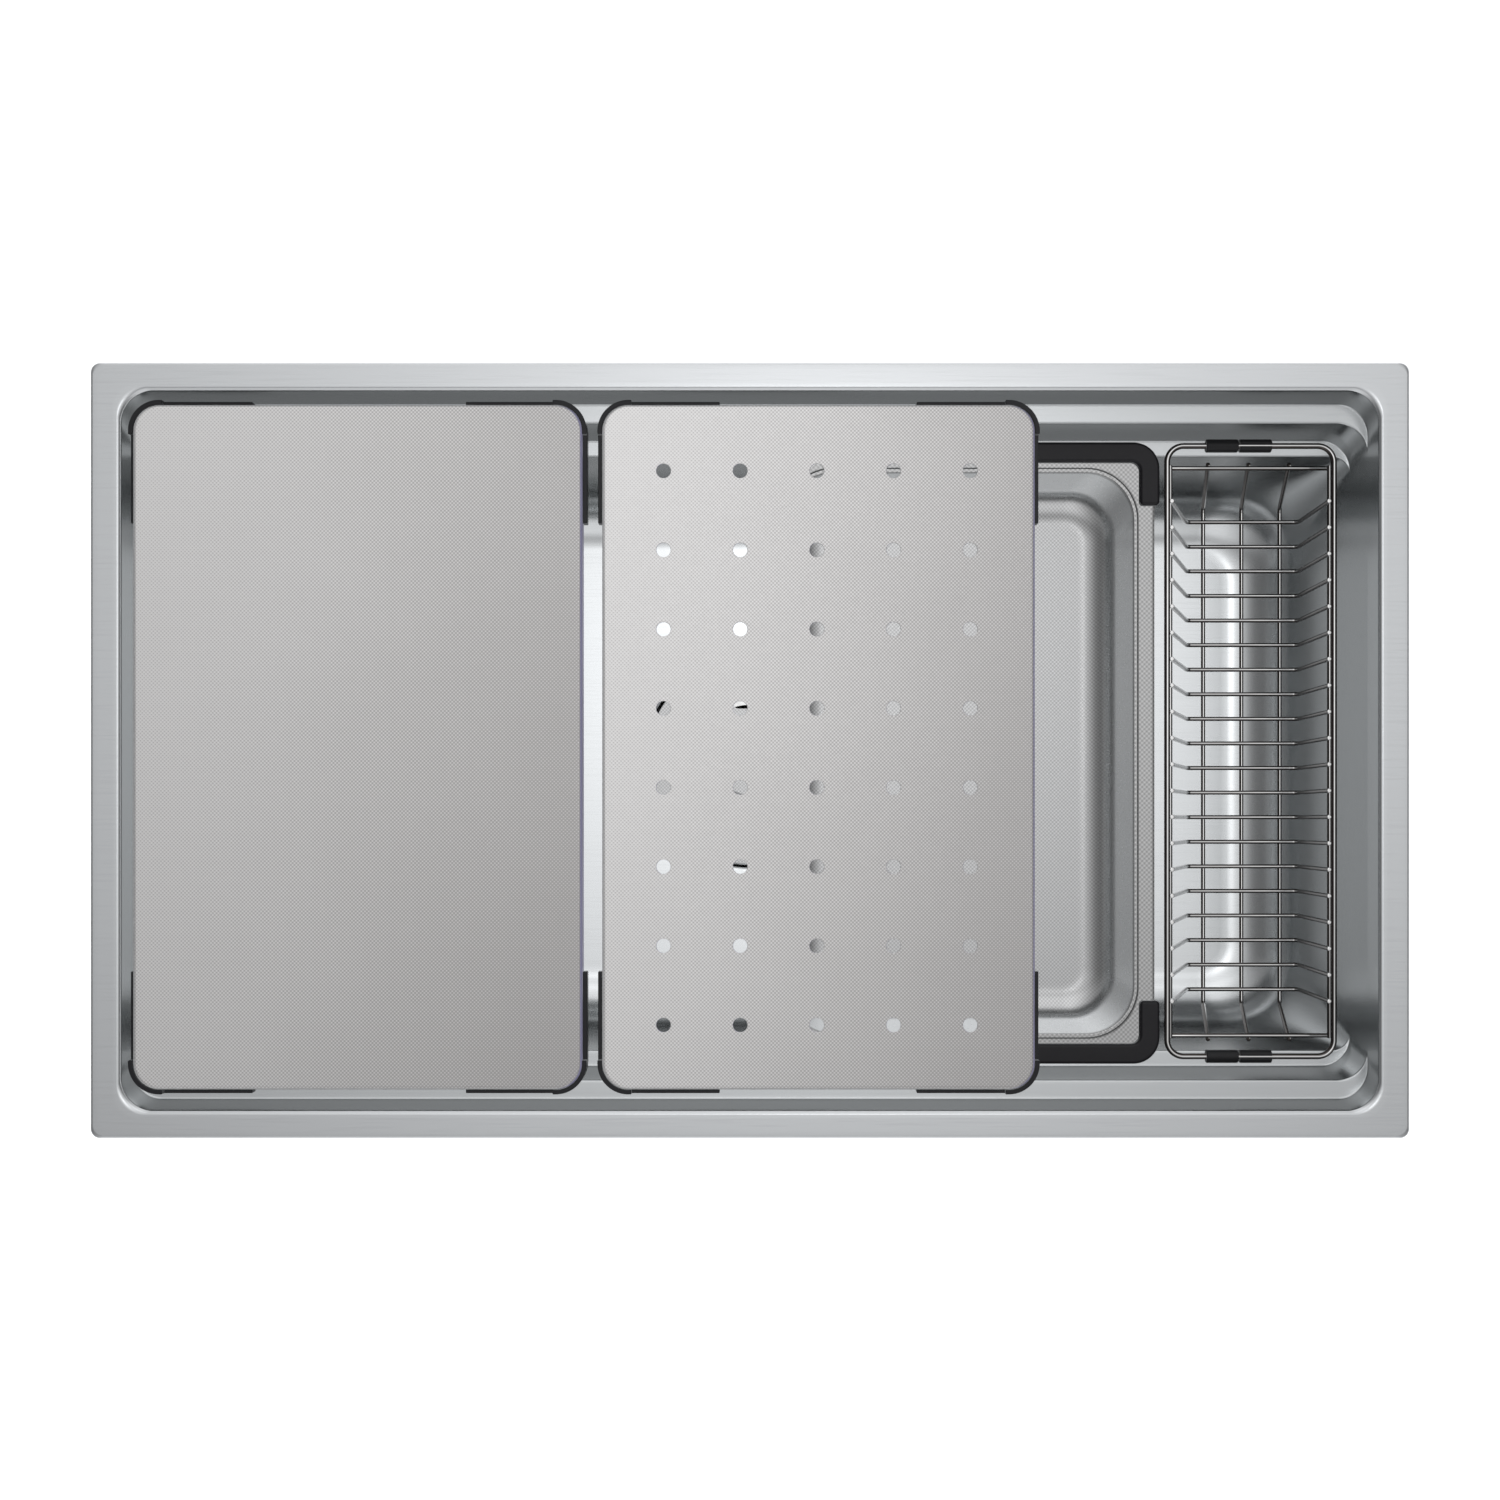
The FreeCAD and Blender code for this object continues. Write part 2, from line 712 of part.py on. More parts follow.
def rim_seal():
    """The foam strip that the rim presses on the worktop."""
    body = new_body("rim_seal")
    sketch = new_sketch(body, "rim_seal_outline")
    outer = (size.steel_sheet + size.seal_inset) * 2
    inner = outer + size.seal_width * 2
    radius = size.rim_corner_radius - size.steel_sheet - size.seal_inset
    draw_rounded_rectangle(sketch, size.rim_length - outer, size.rim_width - outer, radius)
    draw_rounded_rectangle(sketch, size.rim_length - inner, size.rim_width - inner, radius)
    pad(body, sketch, size.rim_height - size.steel_sheet, name="rim_seal_pad")
    return node(body, "rim_seal")


def sound_pads():
    """Two damping pads under the flat of the floor, one each side of the waste."""
    body = new_body("sound_pads", many=True)
    for sign, side in ((-1, "left"), (1, "right")):
        sketch = new_sketch(body, f"{side}_pad_outline", lift=floor_top - size.steel_sheet)
        draw_rounded_rectangle(
            sketch, size.pad_length, size.pad_width, size.pad_corner_radius, x=size.pad_distance * sign
        )
        pad(body, sketch, size.pad_thickness, down=True, name=f"{side}_pad")
    return node(body, "sound_pads")


def wall_lean(height):
    """How far the outside of the upper front and back walls has come in at one height."""
    start = rim_top - size.opening_edge_radius - size.steel_sheet
    fall = size.board_ledge_depth - size.ledge_root_radius - size.opening_edge_radius
    return size.board_wall_draft * ((start - height) / fall)


def rail_profile(body, name, lift, sloped):
    """The angle section of a clip rail on the YZ plane, with its back against the bowl's wall."""
    sketch = new_sketch(body, name, "YZ_Plane", lift)
    top = -size.rail_drop
    bottom = top - size.rail_height
    edge = size.rail_sheet + size.rail_lip
    inside = bottom + size.rail_sheet

    def back(height):
        return -wall_lean(height) if sloped else as_length(0)

    draw_polygon(
        sketch,
        [
            (back(top), top),
            (back(bottom), bottom),
            (edge, bottom),
            (edge, inside),
            (back(inside) + size.rail_sheet, inside),
            (back(top) + size.rail_sheet, top),
        ],
    )
    return sketch


def turned_copies(shape, places):
    """A group of copies of a shape, each turned about the vertical axis and moved."""
    copies = []
    for x, y, angle in places:
        copy = shape.copy()
        turn = FreeCAD.Rotation(FreeCAD.Vector(0, 0, 1), angle)
        copy.Placement = FreeCAD.Placement(FreeCAD.Vector(float(x), float(y), 0), turn)
        copies.append(copy)
    return Part.makeCompound(copies)


def wall_places():
    """Where the middle of each outer wall lies, and the turn that faces a piece outwards there."""
    back = opening_half_width + size.steel_sheet
    right = opening_half_length + size.steel_sheet
    return {
        "back": (0, back, 0),
        "front": (0, -back, 180),
        "left": (-right, 0, 90),
        "right": (right, 0, -90),
    }


def clip_rails():
    """Four angle rails, spot welded to the outside of the upper walls."""
    rails = []
    for side, (x, y, angle) in wall_places().items():
        sloped = side in ("back", "front")
        length = size.long_rail_length if sloped else size.short_rail_length
        body = new_body(f"{side}_rail")
        sketch = rail_profile(body, f"{side}_rail_profile", -length / 2, sloped)
        pad(body, sketch, length, name=f"{side}_rail_pad")
        body.Placement.Rotation = FreeCAD.Rotation(FreeCAD.Vector(0, 0, 1), angle)
        place(body, x, y, 0)
        rails.append(body)
    group = doc.addObject("Part::Compound", "clip_rails")
    group.Links = rails
    return node(group, "clip_rails")


def clip_places():
    """Three clips on each long wall and one on each short wall."""
    walls = wall_places()
    places = [walls["left"], walls["right"]]
    for side in ("back", "front"):
        x, y, angle = walls[side]
        for step in (-1, 0, 1):
            places.append((size.clip_spacing * step, y, angle))
    return places


def rim_clips():
    """Bent clips that hook over the rails and reach under the worktop."""
    master = new_body("clip_shape")
    sketch = new_sketch(master, "clip_profile", "YZ_Plane", -size.clip_width / 2)
    hook = -size.rail_drop - size.rail_height + size.rail_sheet
    leg = size.rail_sheet + size.rail_lip + size.seat_gap
    arm = -size.clip_arm_height
    draw_polygon(
        sketch,
        [
            (size.rail_sheet + size.clip_tab_gap, hook),
            (leg, hook),
            (leg, arm),
            (leg + size.clip_arm_reach, arm),
            (leg + size.clip_arm_reach, arm + size.clip_sheet),
            (leg + size.clip_sheet, arm + size.clip_sheet),
            (leg + size.clip_sheet, hook + size.clip_sheet),
            (size.rail_sheet + size.clip_tab_gap, hook + size.clip_sheet),
        ],
    )
    pad(master, sketch, size.clip_width, name="clip_strip")
    hole = new_sketch(master, "clip_hole_outline", lift=arm - size.overrun)
    draw_circle(hole, 0, leg + size.screw_reach, size.screw_radius + size.running_gap)
    pocket(master, hole, size.clip_sheet + size.overrun * 2, up=True, name="clip_hole")
    doc.recompute()
    clips = doc.addObject("Part::Feature", "rim_clips")
    clips.Shape = turned_copies(master.Shape, clip_places())
    return node(clips, "rim_clips")


def clip_screws():
    """Screws that press up on the worktop's underside."""
    master = new_body("screw_shape")
    tip = -size.worktop_thickness
    reach = size.rail_sheet + size.rail_lip + size.seat_gap + size.screw_reach
    shank = new_sketch(master, "screw_shank_outline", lift=tip)
    draw_circle(shank, 0, reach, size.screw_radius)
    pad(master, shank, size.screw_length, down=True, name="screw_shank")
    head = new_sketch(master, "screw_head_outline", lift=tip - size.screw_length)
    draw_circle(head, 0, reach, size.screw_head_radius)
    pad(master, head, size.screw_head_height, down=True, name="screw_head")
    doc.recompute()
    screws = doc.addObject("Part::Feature", "clip_screws")
    screws.Shape = turned_copies(master.Shape, clip_places())
    return node(screws, "clip_screws")


# Heights of the waste fitting, from the well's floor downwards

flange_bottom = well_floor + size.top_seal_thickness
flange_top = flange_bottom + size.drain_flange_thickness
cup_floor = flange_top - size.drain_cup_depth
neck_top = cup_floor - size.drain_cup_fall
neck_bottom = neck_top - size.drain_neck_length
gasket_bottom = bowl_underside - size.gasket_thickness
fibre_bottom = gasket_bottom - size.fibre_thickness
locknut_bottom = fibre_bottom - size.locknut_height
tail_top = neck_bottom - size.tail_washer_thickness
tail_flange_bottom = tail_top - size.tail_flange_thickness
coupling_bottom = tail_flange_bottom - size.coupling_lip


def turned(name, points):
    """A sub-part turned from an outline of radius and height pairs."""
    body = new_body(name)
    sketch = new_sketch(body, name + "_profile", "XZ_Plane")
    draw_polygon(sketch, points)
    revolve(body, sketch, name + "_turned")
    return body


def drain_body():
    """The cup of the waste, with its flange in the well and its neck below."""
    cup, neck, wall = size.drain_cup_radius, size.drain_neck_radius, size.drain_wall
    body = turned(
        "drain_body",
        [
            (cup - wall, flange_top),
            (size.drain_flange_radius - size.drain_flange_thickness / 2, flange_top),
            (size.drain_flange_radius, flange_bottom),
            (cup, flange_bottom),
            (cup, cup_floor - wall),
            (neck, neck_top - wall),
            (neck, neck_bottom),
            (neck - wall, neck_bottom),
            (neck - wall, neck_top),
            (cup - wall, cup_floor),
        ],
    )
    return node(body, "drain_body")


def drain_locknut():
    """The large nut under the bowl, with lugs to turn it by."""
    body = new_body("drain_locknut")
    sketch = new_sketch(body, "locknut_outline", lift=locknut_bottom)
    draw_circle(sketch, 0, 0, size.locknut_radius)
    draw_circle(sketch, 0, 0, size.drain_cup_radius + size.running_gap)
    pad(body, sketch, size.locknut_height, name="locknut_ring")
    lug = new_sketch(body, "locknut_lug_outline", lift=locknut_bottom)
    inner = size.locknut_radius - size.drain_wall * 2
    draw_polygon(
        lug,
        [
            (inner, -size.locknut_lug_width / 2),
            (size.locknut_lug_radius, -size.locknut_lug_width / 2),
            (size.locknut_lug_radius, size.locknut_lug_width / 2),
            (inner, size.locknut_lug_width / 2),
        ],
    )
    first = pad(body, lug, size.locknut_height, name="locknut_lug")
    repeat_round(body, first, lug, size.locknut_lug_count)
    return node(body, "drain_locknut")


def repeat_round(body, feature, sketch, count, name="round_pattern"):
    """Repeats a feature evenly round the normal of its sketch."""
    pattern = body.newObject("PartDesign::PolarPattern", name)
    pattern.Originals = [feature]
    pattern.Axis = (sketch, ["N_Axis"])
    pattern.Angle = 360.0
    bind(pattern, "Occurrences", count)
    body.Tip = pattern
    return pattern


def tailpiece():
    """The outlet tube, whose flange is held to the neck by the coupling nut."""
    tube, wall = size.tail_radius, size.tail_wall
    body = turned(
        "tailpiece",
        [
            (tube - wall, tail_top),
            (size.tail_flange_radius, tail_top),
            (size.tail_flange_radius, tail_flange_bottom),
            (tube - size.tail_relief, tail_flange_bottom),
            (tube - size.tail_relief, coupling_bottom),
            (tube, coupling_bottom),
            (tube, tail_top - size.tail_length),
            (tube - wall, tail_top - size.tail_length),
        ],
    )
    return node(body, "tailpiece")


def coupling_nut():
    """The nut round the neck, with a lip under the tailpiece's flange."""
    body = new_body("coupling_nut")
    sketch = new_sketch(body, "coupling_outline", lift=coupling_bottom)
    turn = 2 * math.pi / SIZES["coupling_flat_count"]
    corners = [
        (size.coupling_radius * math.cos(i * turn), size.coupling_radius * math.sin(i * turn))
        for i in range(SIZES["coupling_flat_count"])
    ]
    draw_polygon(sketch, corners)
    pad(body, sketch, size.coupling_height, name="coupling_block")
    through = new_sketch(body, "coupling_lip_outline", lift=coupling_bottom - size.overrun)
    draw_circle(through, 0, 0, size.tail_radius + size.seat_gap)
    pocket(body, through, size.coupling_height + size.overrun * 2, up=True, name="coupling_lip_hole")
    bore = new_sketch(body, "coupling_bore_outline", lift=tail_flange_bottom)
    draw_circle(bore, 0, 0, size.drain_neck_radius + size.running_gap)
    pocket(body, bore, size.coupling_height + size.overrun, up=True, name="coupling_bore")
    return node(body, "coupling_nut")


def waste():
    """The fixed pieces of the waste fitting."""
    ring(
        "drain_top_seal",
        size.top_seal_inner_radius,
        size.top_seal_outer_radius,
        well_floor,
        size.top_seal_thickness,
    )
    drain_body()
    thread = size.drain_cup_radius + size.running_gap
    ring("drain_gasket", thread, size.gasket_radius, gasket_bottom, size.gasket_thickness)
    ring("drain_fibre_washer", thread, size.fibre_radius, fibre_bottom, size.fibre_thickness)
    drain_locknut()
    ring(
        "tailpiece_washer",
        size.tail_radius - size.tail_wall,
        size.tail_flange_radius,
        tail_top,
        size.tail_washer_thickness,
    )
    tailpiece()
    coupling_nut()


# Heights of the strainer, which stands on its stopper in the cup

stopper_bottom = neck_top + size.seat_gap
strainer_bottom = stopper_bottom + size.strainer_foot
strainer_top = strainer_bottom + size.strainer_height
knob_top = floor_top - size.knob_top_drop


def strainer_basket():
    """The slotted cup that catches waste."""
    outer, sheet = size.strainer_radius, size.strainer_sheet
    stem = size.knob_stem_radius + size.running_gap
    body = turned(
        "strainer_basket",
        [
            (stem, strainer_bottom),
            (outer - size.strainer_foot, strainer_bottom),
            (outer, strainer_bottom + size.strainer_foot),
            (outer, strainer_top),
            (outer - sheet, strainer_top),
            (outer - sheet, strainer_bottom + size.strainer_foot + sheet / 2),
            (outer - size.strainer_foot - sheet / 2, strainer_bottom + sheet),
            (stem, strainer_bottom + sheet),
        ],
    )
    low = strainer_bottom + size.strainer_foot + size.strainer_slot_margin / 2
    height = size.strainer_height - size.strainer_foot - size.strainer_slot_margin
    slot = new_sketch(body, "strainer_slot_outline", "YZ_Plane", outer - size.overrun)
    half = size.strainer_slot_width / 2
    draw_polygon(slot, [(-half, low), (half, low), (half, low + height), (-half, low + height)])
    first = pocket(body, slot, size.overrun * 2, up=True, name="strainer_slot")
    centre = new_sketch(body, "strainer_centre")
    draw_circle(centre, 0, 0, outer)
    repeat_round(body, first, centre, size.strainer_slot_count)
    return node(body, "strainer_basket")


def strainer():
    """The strainer with its rubber stopper and lifting knob."""
    strainer_basket()
    seat = size.drain_neck_radius - size.drain_wall
    slope = size.drain_cup_fall / (size.drain_cup_radius - size.drain_neck_radius)
    edge = stopper_bottom + slope * (size.stopper_radius - seat)
    body = turned(
        "strainer_stopper",
        [
            (0, stopper_bottom),
            (seat, stopper_bottom),
            (size.stopper_radius, edge),
            (size.stopper_radius, edge + size.stopper_lip),
            (size.stopper_hub_radius, strainer_bottom),
            (0, strainer_bottom),
        ],
    )
    node(body, "strainer_stopper")
    stem, knob = size.knob_stem_radius, size.knob_radius
    body = turned(
        "strainer_knob",
        [
            (0, strainer_bottom),
            (stem, strainer_bottom),
            (stem, knob_top - size.knob_height),
            (knob - size.strainer_sheet, knob_top - size.knob_height),
            (knob, knob_top - size.knob_height / 2),
            (knob - size.knob_height / 2, knob_top),
            (0, knob_top),
        ],
    )
    node(body, "strainer_knob")


def cover():
    """The flush cover over the well, with a raised ring, a finger slot and three legs."""
    half = size.cover_ring_width / 2
    top = floor_top
    bottom = top - size.cover_thickness
    middle = size.cover_ring_radius
    body = turned(
        "cover_plate",
        [
            (0, bottom),
            (size.cover_radius, bottom),
            (size.cover_radius, top - size.cover_edge_bevel),
            (size.cover_radius - size.cover_edge_bevel, top),
            (middle + half, top),
            (middle + half / 2, top + size.cover_ring_height),
            (middle - half / 2, top + size.cover_ring_height),
            (middle - half, top),
            (0, top),
        ],
    )
    slot = new_sketch(body, "cover_slot_outline", lift=top + size.overrun)
    draw_rounded_rectangle(
        slot,
        size.cover_slot_length,
        size.cover_slot_width,
        size.cover_slot_width * size.cover_slot_round_share,
        y=size.cover_slot_distance,
    )
    pocket(body, slot, size.cover_thickness + size.overrun * 2, name="cover_slot")
    node(body, "cover_plate")
    legs = new_body("cover_legs", many=True)
    outline = new_sketch(legs, "cover_leg_outline", lift=well_floor + size.seat_gap)
    draw_circle(outline, size.cover_leg_distance, 0, size.cover_leg_radius)
    height = size.well_depth - size.cover_thickness - size.seat_gap
    first = pad(legs, outline, height, name="cover_leg")
    repeat_round(legs, first, outline, size.cover_leg_count)
    node(legs, "cover_legs")


# Heights of the boards, whose guards stand on the upper ledge

board_top = rim_top - size.board_top_drop
board_bottom = board_top - size.board_height


def board_plate(name, length, centre, holed):
    """A folded steel board, open below, with or without its grid of holes."""
    body = new_body(name)
    outline = new_sketch(body, name + "_outline", lift=board_bottom)
    draw_rounded_rectangle(outline, length, size.board_width, size.board_corner_radius)
    block = pad(body, outline, size.board_height, name=name + "_block")
    doc.recompute()
    fillet(body, block, level_edges(block, board_top), size.board_edge_radius, name + "_rounding")
    hollow = new_sketch(body, name + "_hollow_outline", lift=board_bottom)
    inset = size.board_sheet * 2
    draw_rounded_rectangle(
        hollow, length - inset, size.board_width - inset, size.board_corner_radius - size.board_sheet
    )
    pocket(body, hollow, size.board_height - size.board_sheet, up=True, name=name + "_hollow")
    if holed:
        board_holes(body)
    place(body, centre, size.board_offset, 0)
    return node(body, name)


def board_holes(body):
    """A grid of drain holes, cut once and repeated both ways."""
    across = size.hole_pitch_across * (size.hole_count_across - 1)
    along = size.hole_pitch_along * (size.hole_count_along - 1)
    outline = new_sketch(body, "hole_outline", lift=board_top + size.overrun)
    x = size.hole_offset_across - across / 2
    y = size.hole_offset_along - along / 2
    draw_circle(outline, x, y, size.hole_radius)
    first = pocket(body, outline, size.board_sheet + size.overrun * 2, name="hole")
    grid = body.newObject("PartDesign::MultiTransform", "hole_grid")
    grid.Originals = [first]
    steps = []
    for axis, length, count in (
        ("H_Axis", across, size.hole_count_across),
        ("V_Axis", along, size.hole_count_along),
    ):
        step = doc.addObject("PartDesign::LinearPattern", "hole_row_" + axis[0])
        body.Group = body.Group + [step]
        step.Direction = (outline, [axis])
        bind(step, "Length", length)
        bind(step, "Occurrences", count)
        steps.append(step)
    grid.Transformations = steps
    body.Tip = grid


def corner_guard(name, centre, length, turn, sign_x, sign_y):
    """A plastic guard round one corner of a board, with a foot under it and a leg along each side."""
    body = new_body(name)
    corner = size.board_corner_radius
    foot_bottom = board_bottom - size.guard_foot_thickness
    reach, flush = size.guard_corner_reach, as_length(0)

    def angle_band(label, outer, inner, far, lift, height):
        sketch = new_sketch(body, label, lift=lift)
        draw_corner_band(sketch, outer, inner, far, corner)
        pad(body, sketch, height, name=label + "_pad")

    depth = size.guard_foot_depth
    angle_band(name + "_foot", size.guard_foot_outset, depth, reach, foot_bottom, size.guard_foot_thickness)
    angle_band(name + "_wall", size.guard_thickness, flush, reach, board_bottom, size.board_height)
    leg, low = size.guard_leg_thickness, size.guard_leg_height
    angle_band(name + "_leg", leg, flush, size.guard_leg_reach, board_bottom, low)
    body.Placement.Rotation = FreeCAD.Rotation(FreeCAD.Vector(0, 0, 1), turn)
    x = centre + length * (sign_x / 2)
    y = size.board_offset + size.board_width * (sign_y / 2)
    place(body, x, y, 0)
    return node(body, name)


def draw_corner_band(sketch, outer, inner, reach, corner):
    """A band round the corner of a board that lies in -X and -Y, from outer outside to inner inside it."""
    out, deep, far, r = float(outer), float(inner), float(reach), float(corner)
    middle = FreeCAD.Vector(-r, -r, 0)
    normal = FreeCAD.Vector(0, 0, 1)
    big = Part.ArcOfCircle(Part.Circle(middle, normal, r + out), 0, math.pi / 2)
    small = Part.ArcOfCircle(Part.Circle(middle, normal, r - deep), 0, math.pi / 2)

    def spot(x, y):
        return FreeCAD.Vector(x, y, 0)

    top = sketch.addGeometry(Part.LineSegment(spot(-r, out), spot(-far, out)))
    top_end = sketch.addGeometry(Part.LineSegment(spot(-far, out), spot(-far, -deep)))
    top_in = sketch.addGeometry(Part.LineSegment(spot(-far, -deep), spot(-r, -deep)))
    small_arc = sketch.addGeometry(small)
    side_in = sketch.addGeometry(Part.LineSegment(spot(-deep, -r), spot(-deep, -far)))
    side_end = sketch.addGeometry(Part.LineSegment(spot(-deep, -far), spot(out, -far)))
    side = sketch.addGeometry(Part.LineSegment(spot(out, -far), spot(out, -r)))
    big_arc = sketch.addGeometry(big)
    for one, end, two, start in (
        (top, 2, top_end, 1),
        (top_end, 2, top_in, 1),
        (side_in, 2, side_end, 1),
        (side_end, 2, side, 1),
    ):
        sketch.addConstraint(Sketcher.Constraint("Coincident", one, end, two, start))
    for one, end, two, start in (
        (top_in, 2, small_arc, 2),
        (small_arc, 1, side_in, 1),
        (side, 2, big_arc, 1),
        (big_arc, 2, top, 1),
    ):
        sketch.addConstraint(Sketcher.Constraint("Tangent", one, end, two, start))
    fix_point(sketch, top, 2, -reach, outer)
    fix_point(sketch, top_in, 1, -reach, -inner)
    fix_point(sketch, side, 1, outer, -reach)
    fix_point(sketch, side_in, 2, -inner, -reach)
    fix_number(sketch, "Radius", big_arc, corner + outer)
    fix_number(sketch, "Radius", small_arc, corner - inner)
    for line in (top, top_in):
        sketch.addConstraint(Sketcher.Constraint("Horizontal", line))
    for line in (side, side_in):
        sketch.addConstraint(Sketcher.Constraint("Vertical", line))


def board(name, length, centre, holed):
    """One board with its four corner guards."""
    board_plate(name + "_plate", length, centre, holed)
    corners = (
        ("back_right", 0, 1, 1),
        ("back_left", 90, -1, 1),
        ("front_left", 180, -1, -1),
        ("front_right", 270, 1, -1),
    )
    for place_name, turn, sign_x, sign_y in corners:
        corner_guard(f"{name}_guard_{place_name}", centre, length, turn, sign_x, sign_y)


# Heights of the tray, whose handles stand on the lower ledge

handle_bottom = tray_ledge + size.seat_gap
flange_under = handle_bottom + size.handle_under_flange
tray_top = flange_under + size.tray_sheet
tray_floor = tray_top - size.tray_depth


def tray_sketches(body, grow, name, head):
    """Outlines of the tray's hollow at its top, under the flange and at its floor."""
    sketches = []
    for label, draft, height in (("top", 0, head), ("floor", 1, tray_floor - grow)):
        sketch = new_sketch(body, f"{name}_{label}", lift=height)
        narrow = size.tray_wall_draft * draft * 2
        draw_rounded_rectangle(
            sketch,
            size.tray_bead_length + grow * 2 - narrow,
            size.tray_bead_width + grow * 2 - narrow,
            size.tray_bead_radius + grow,
        )
        sketches.append(sketch)
    return sketches


def tray_hollow(head):
    """The space inside the tray, from above its bead down to its floor, as a body to cut with."""
    body = new_body("tray_hollow")
    mouth = new_sketch(body, "tray_mouth", lift=head)
    draw_rounded_rectangle(mouth, size.tray_bead_length, size.tray_bead_width, size.tray_bead_radius)
    inner = tray_sketches(body, as_length(0), "tray_inside", tray_top)
    space = loft(body, [mouth] + inner, name="tray_space")
    doc.recompute()
    fillet(body, space, level_edges(space, tray_floor), size.tray_floor_radius, "tray_inner_rounding")
    return body


def tray():
    """The deep steel tray with a wide flange and a bead round its hollow."""
    body = new_body("tray_pan")
    flange = new_sketch(body, "tray_flange_outline", lift=flange_under)
    draw_rounded_rectangle(flange, size.tray_flange_length, size.tray_flange_width, size.tray_flange_radius)
    pad(body, flange, size.tray_sheet, name="tray_flange")
    bead = new_sketch(body, "tray_bead_outline", lift=flange_under)
    wide = size.tray_bead_thickness * 2
    draw_rounded_rectangle(
        bead,
        size.tray_bead_length + wide,
        size.tray_bead_width + wide,
        size.tray_bead_radius + size.tray_bead_thickness,
    )
    raised = pad(body, bead, size.tray_sheet + size.tray_bead_height, name="tray_bead")
    doc.recompute()
    bead_top = tray_top + size.tray_bead_height
    rounding = size.tray_bead_height * size.tray_bead_round_share
    fillet(body, raised, level_edges(raised, bead_top), rounding, "tray_bead_rounding")
    sheet = size.tray_sheet
    outlines = tray_sketches(body, sheet, "tray_outside", flange_under + sheet / 2)
    outside = loft(body, outlines, name="tray_outside")
    doc.recompute()
    low = level_edges(outside, tray_floor - sheet)
    fillet(body, outside, low, size.tray_floor_radius + sheet, "tray_outer_rounding")
    cut_with(body, tray_hollow(bead_top + size.overrun), "tray_inside")
    place(body, size.tray_centre, 0, 0)
    return node(body, "tray_pan")


def tray_handle(name, turn):
    """A plastic grip round one end of the tray's flange, with a leg down each side."""
    body = new_body(name)
    half = size.handle_length / 2
    outer = size.handle_outer_width / 2
    inner = outer - size.handle_bar
    foot = outer - size.handle_leg_reach
    leg = half - size.handle_leg
    block = new_sketch(body, name + "_outline", lift=handle_bottom)
    draw_polygon(
        block,
        [
            (-half, foot),
            (-leg, foot),
            (-leg, inner),
            (leg, inner),
            (leg, foot),
            (half, foot),
            (half, outer),
            (-half, outer),
        ],
    )
    solid = pad(body, block, size.handle_height, name=name + "_block")
    doc.recompute()
    outside = upright_edges(solid, half, outer)
    turned_out = fillet(body, solid, outside, size.handle_outer_radius, name + "_outer_corners")
    doc.recompute()
    inside = upright_edges(turned_out, leg, inner)
    turned_in = fillet(body, turned_out, inside, size.handle_inner_radius, name + "_inner_corners")
    doc.recompute()
    ends = upright_edges(turned_in, half, foot) + upright_edges(turned_in, leg, foot)
    turned_in = fillet(body, turned_in, ends, size.handle_end_radius, name + "_leg_ends")
    doc.recompute()
    top = handle_bottom + size.handle_height
    fillet(body, turned_in, level_edges(turned_in, top), size.handle_edge_radius, name + "_edge")
    groove = new_sketch(body, name + "_groove_outline", lift=flange_under)
    draw_rounded_rectangle(groove, size.tray_flange_length, size.tray_flange_width, size.tray_flange_radius)
    pocket(body, groove, size.tray_sheet, up=True, name=name + "_groove")
    body.Placement.Rotation = FreeCAD.Rotation(FreeCAD.Vector(0, 0, 1), turn)
    place(body, size.tray_centre, 0, 0)
    return node(body, name)


def upright_edges(feature, half_x, y):
    """Names of the vertical edges at plus and minus half_x on the line at y."""
    found = []
    for i, edge in enumerate(feature.Shape.Edges, start=1):
        box = edge.BoundBox
        upright = max(box.XLength, box.YLength) < same_place < box.ZLength
        on_line = abs(box.YMin - float(y)) < same_place
        if upright and on_line and abs(abs(box.XMin) - float(half_x)) < same_place:
            found.append(f"Edge{i}")
    return found


# The basket's heights and sides; its rim wire runs through the sleeves on the lower ledge

rim_wire_height = tray_ledge + size.seat_gap + size.sleeve_radius
rib_reach = (size.rim_wire + size.rib_wire) / 2 - size.weld_depth
rib_left = size.basket_left + rib_reach
rib_right = size.basket_right - rib_reach
rib_top = rim_wire_height + size.rib_rise
rib_bottom = rib_top - size.basket_height
lower_rail_height = rim_wire_height - size.lower_rail_drop
basket_middle = (size.basket_left + size.basket_right) / 2


def basket_rim():
    """The closed rim wire of the basket."""
    body = new_body("basket_rim")
    path = new_sketch(body, "rim_path", lift=rim_wire_height)
    draw_rounded_rectangle(
        path, size.basket_length, size.basket_width, size.basket_corner_radius, x=basket_middle
    )
    profile = new_sketch(body, "rim_section", "YZ_Plane", basket_middle)
    draw_circle(profile, -size.basket_width / 2, rim_wire_height, size.rim_wire / 2)
    sweep(body, profile, path, "rim_wire")
    place(body, 0, size.basket_offset, 0)
    return node(body, "basket_rim")


def rib_point(height, left):
    """Where a rib's centre line lies across the basket at one height."""
    share = (rib_top - height) / size.basket_height
    if left:
        return rib_left + size.basket_left_slope * share
    return rib_right + size.basket_right_flare * share


def rib_middle(height):
    """The middle between both sides of the ribs at one height."""
    return (rib_point(height, True) + rib_point(height, False)) / 2


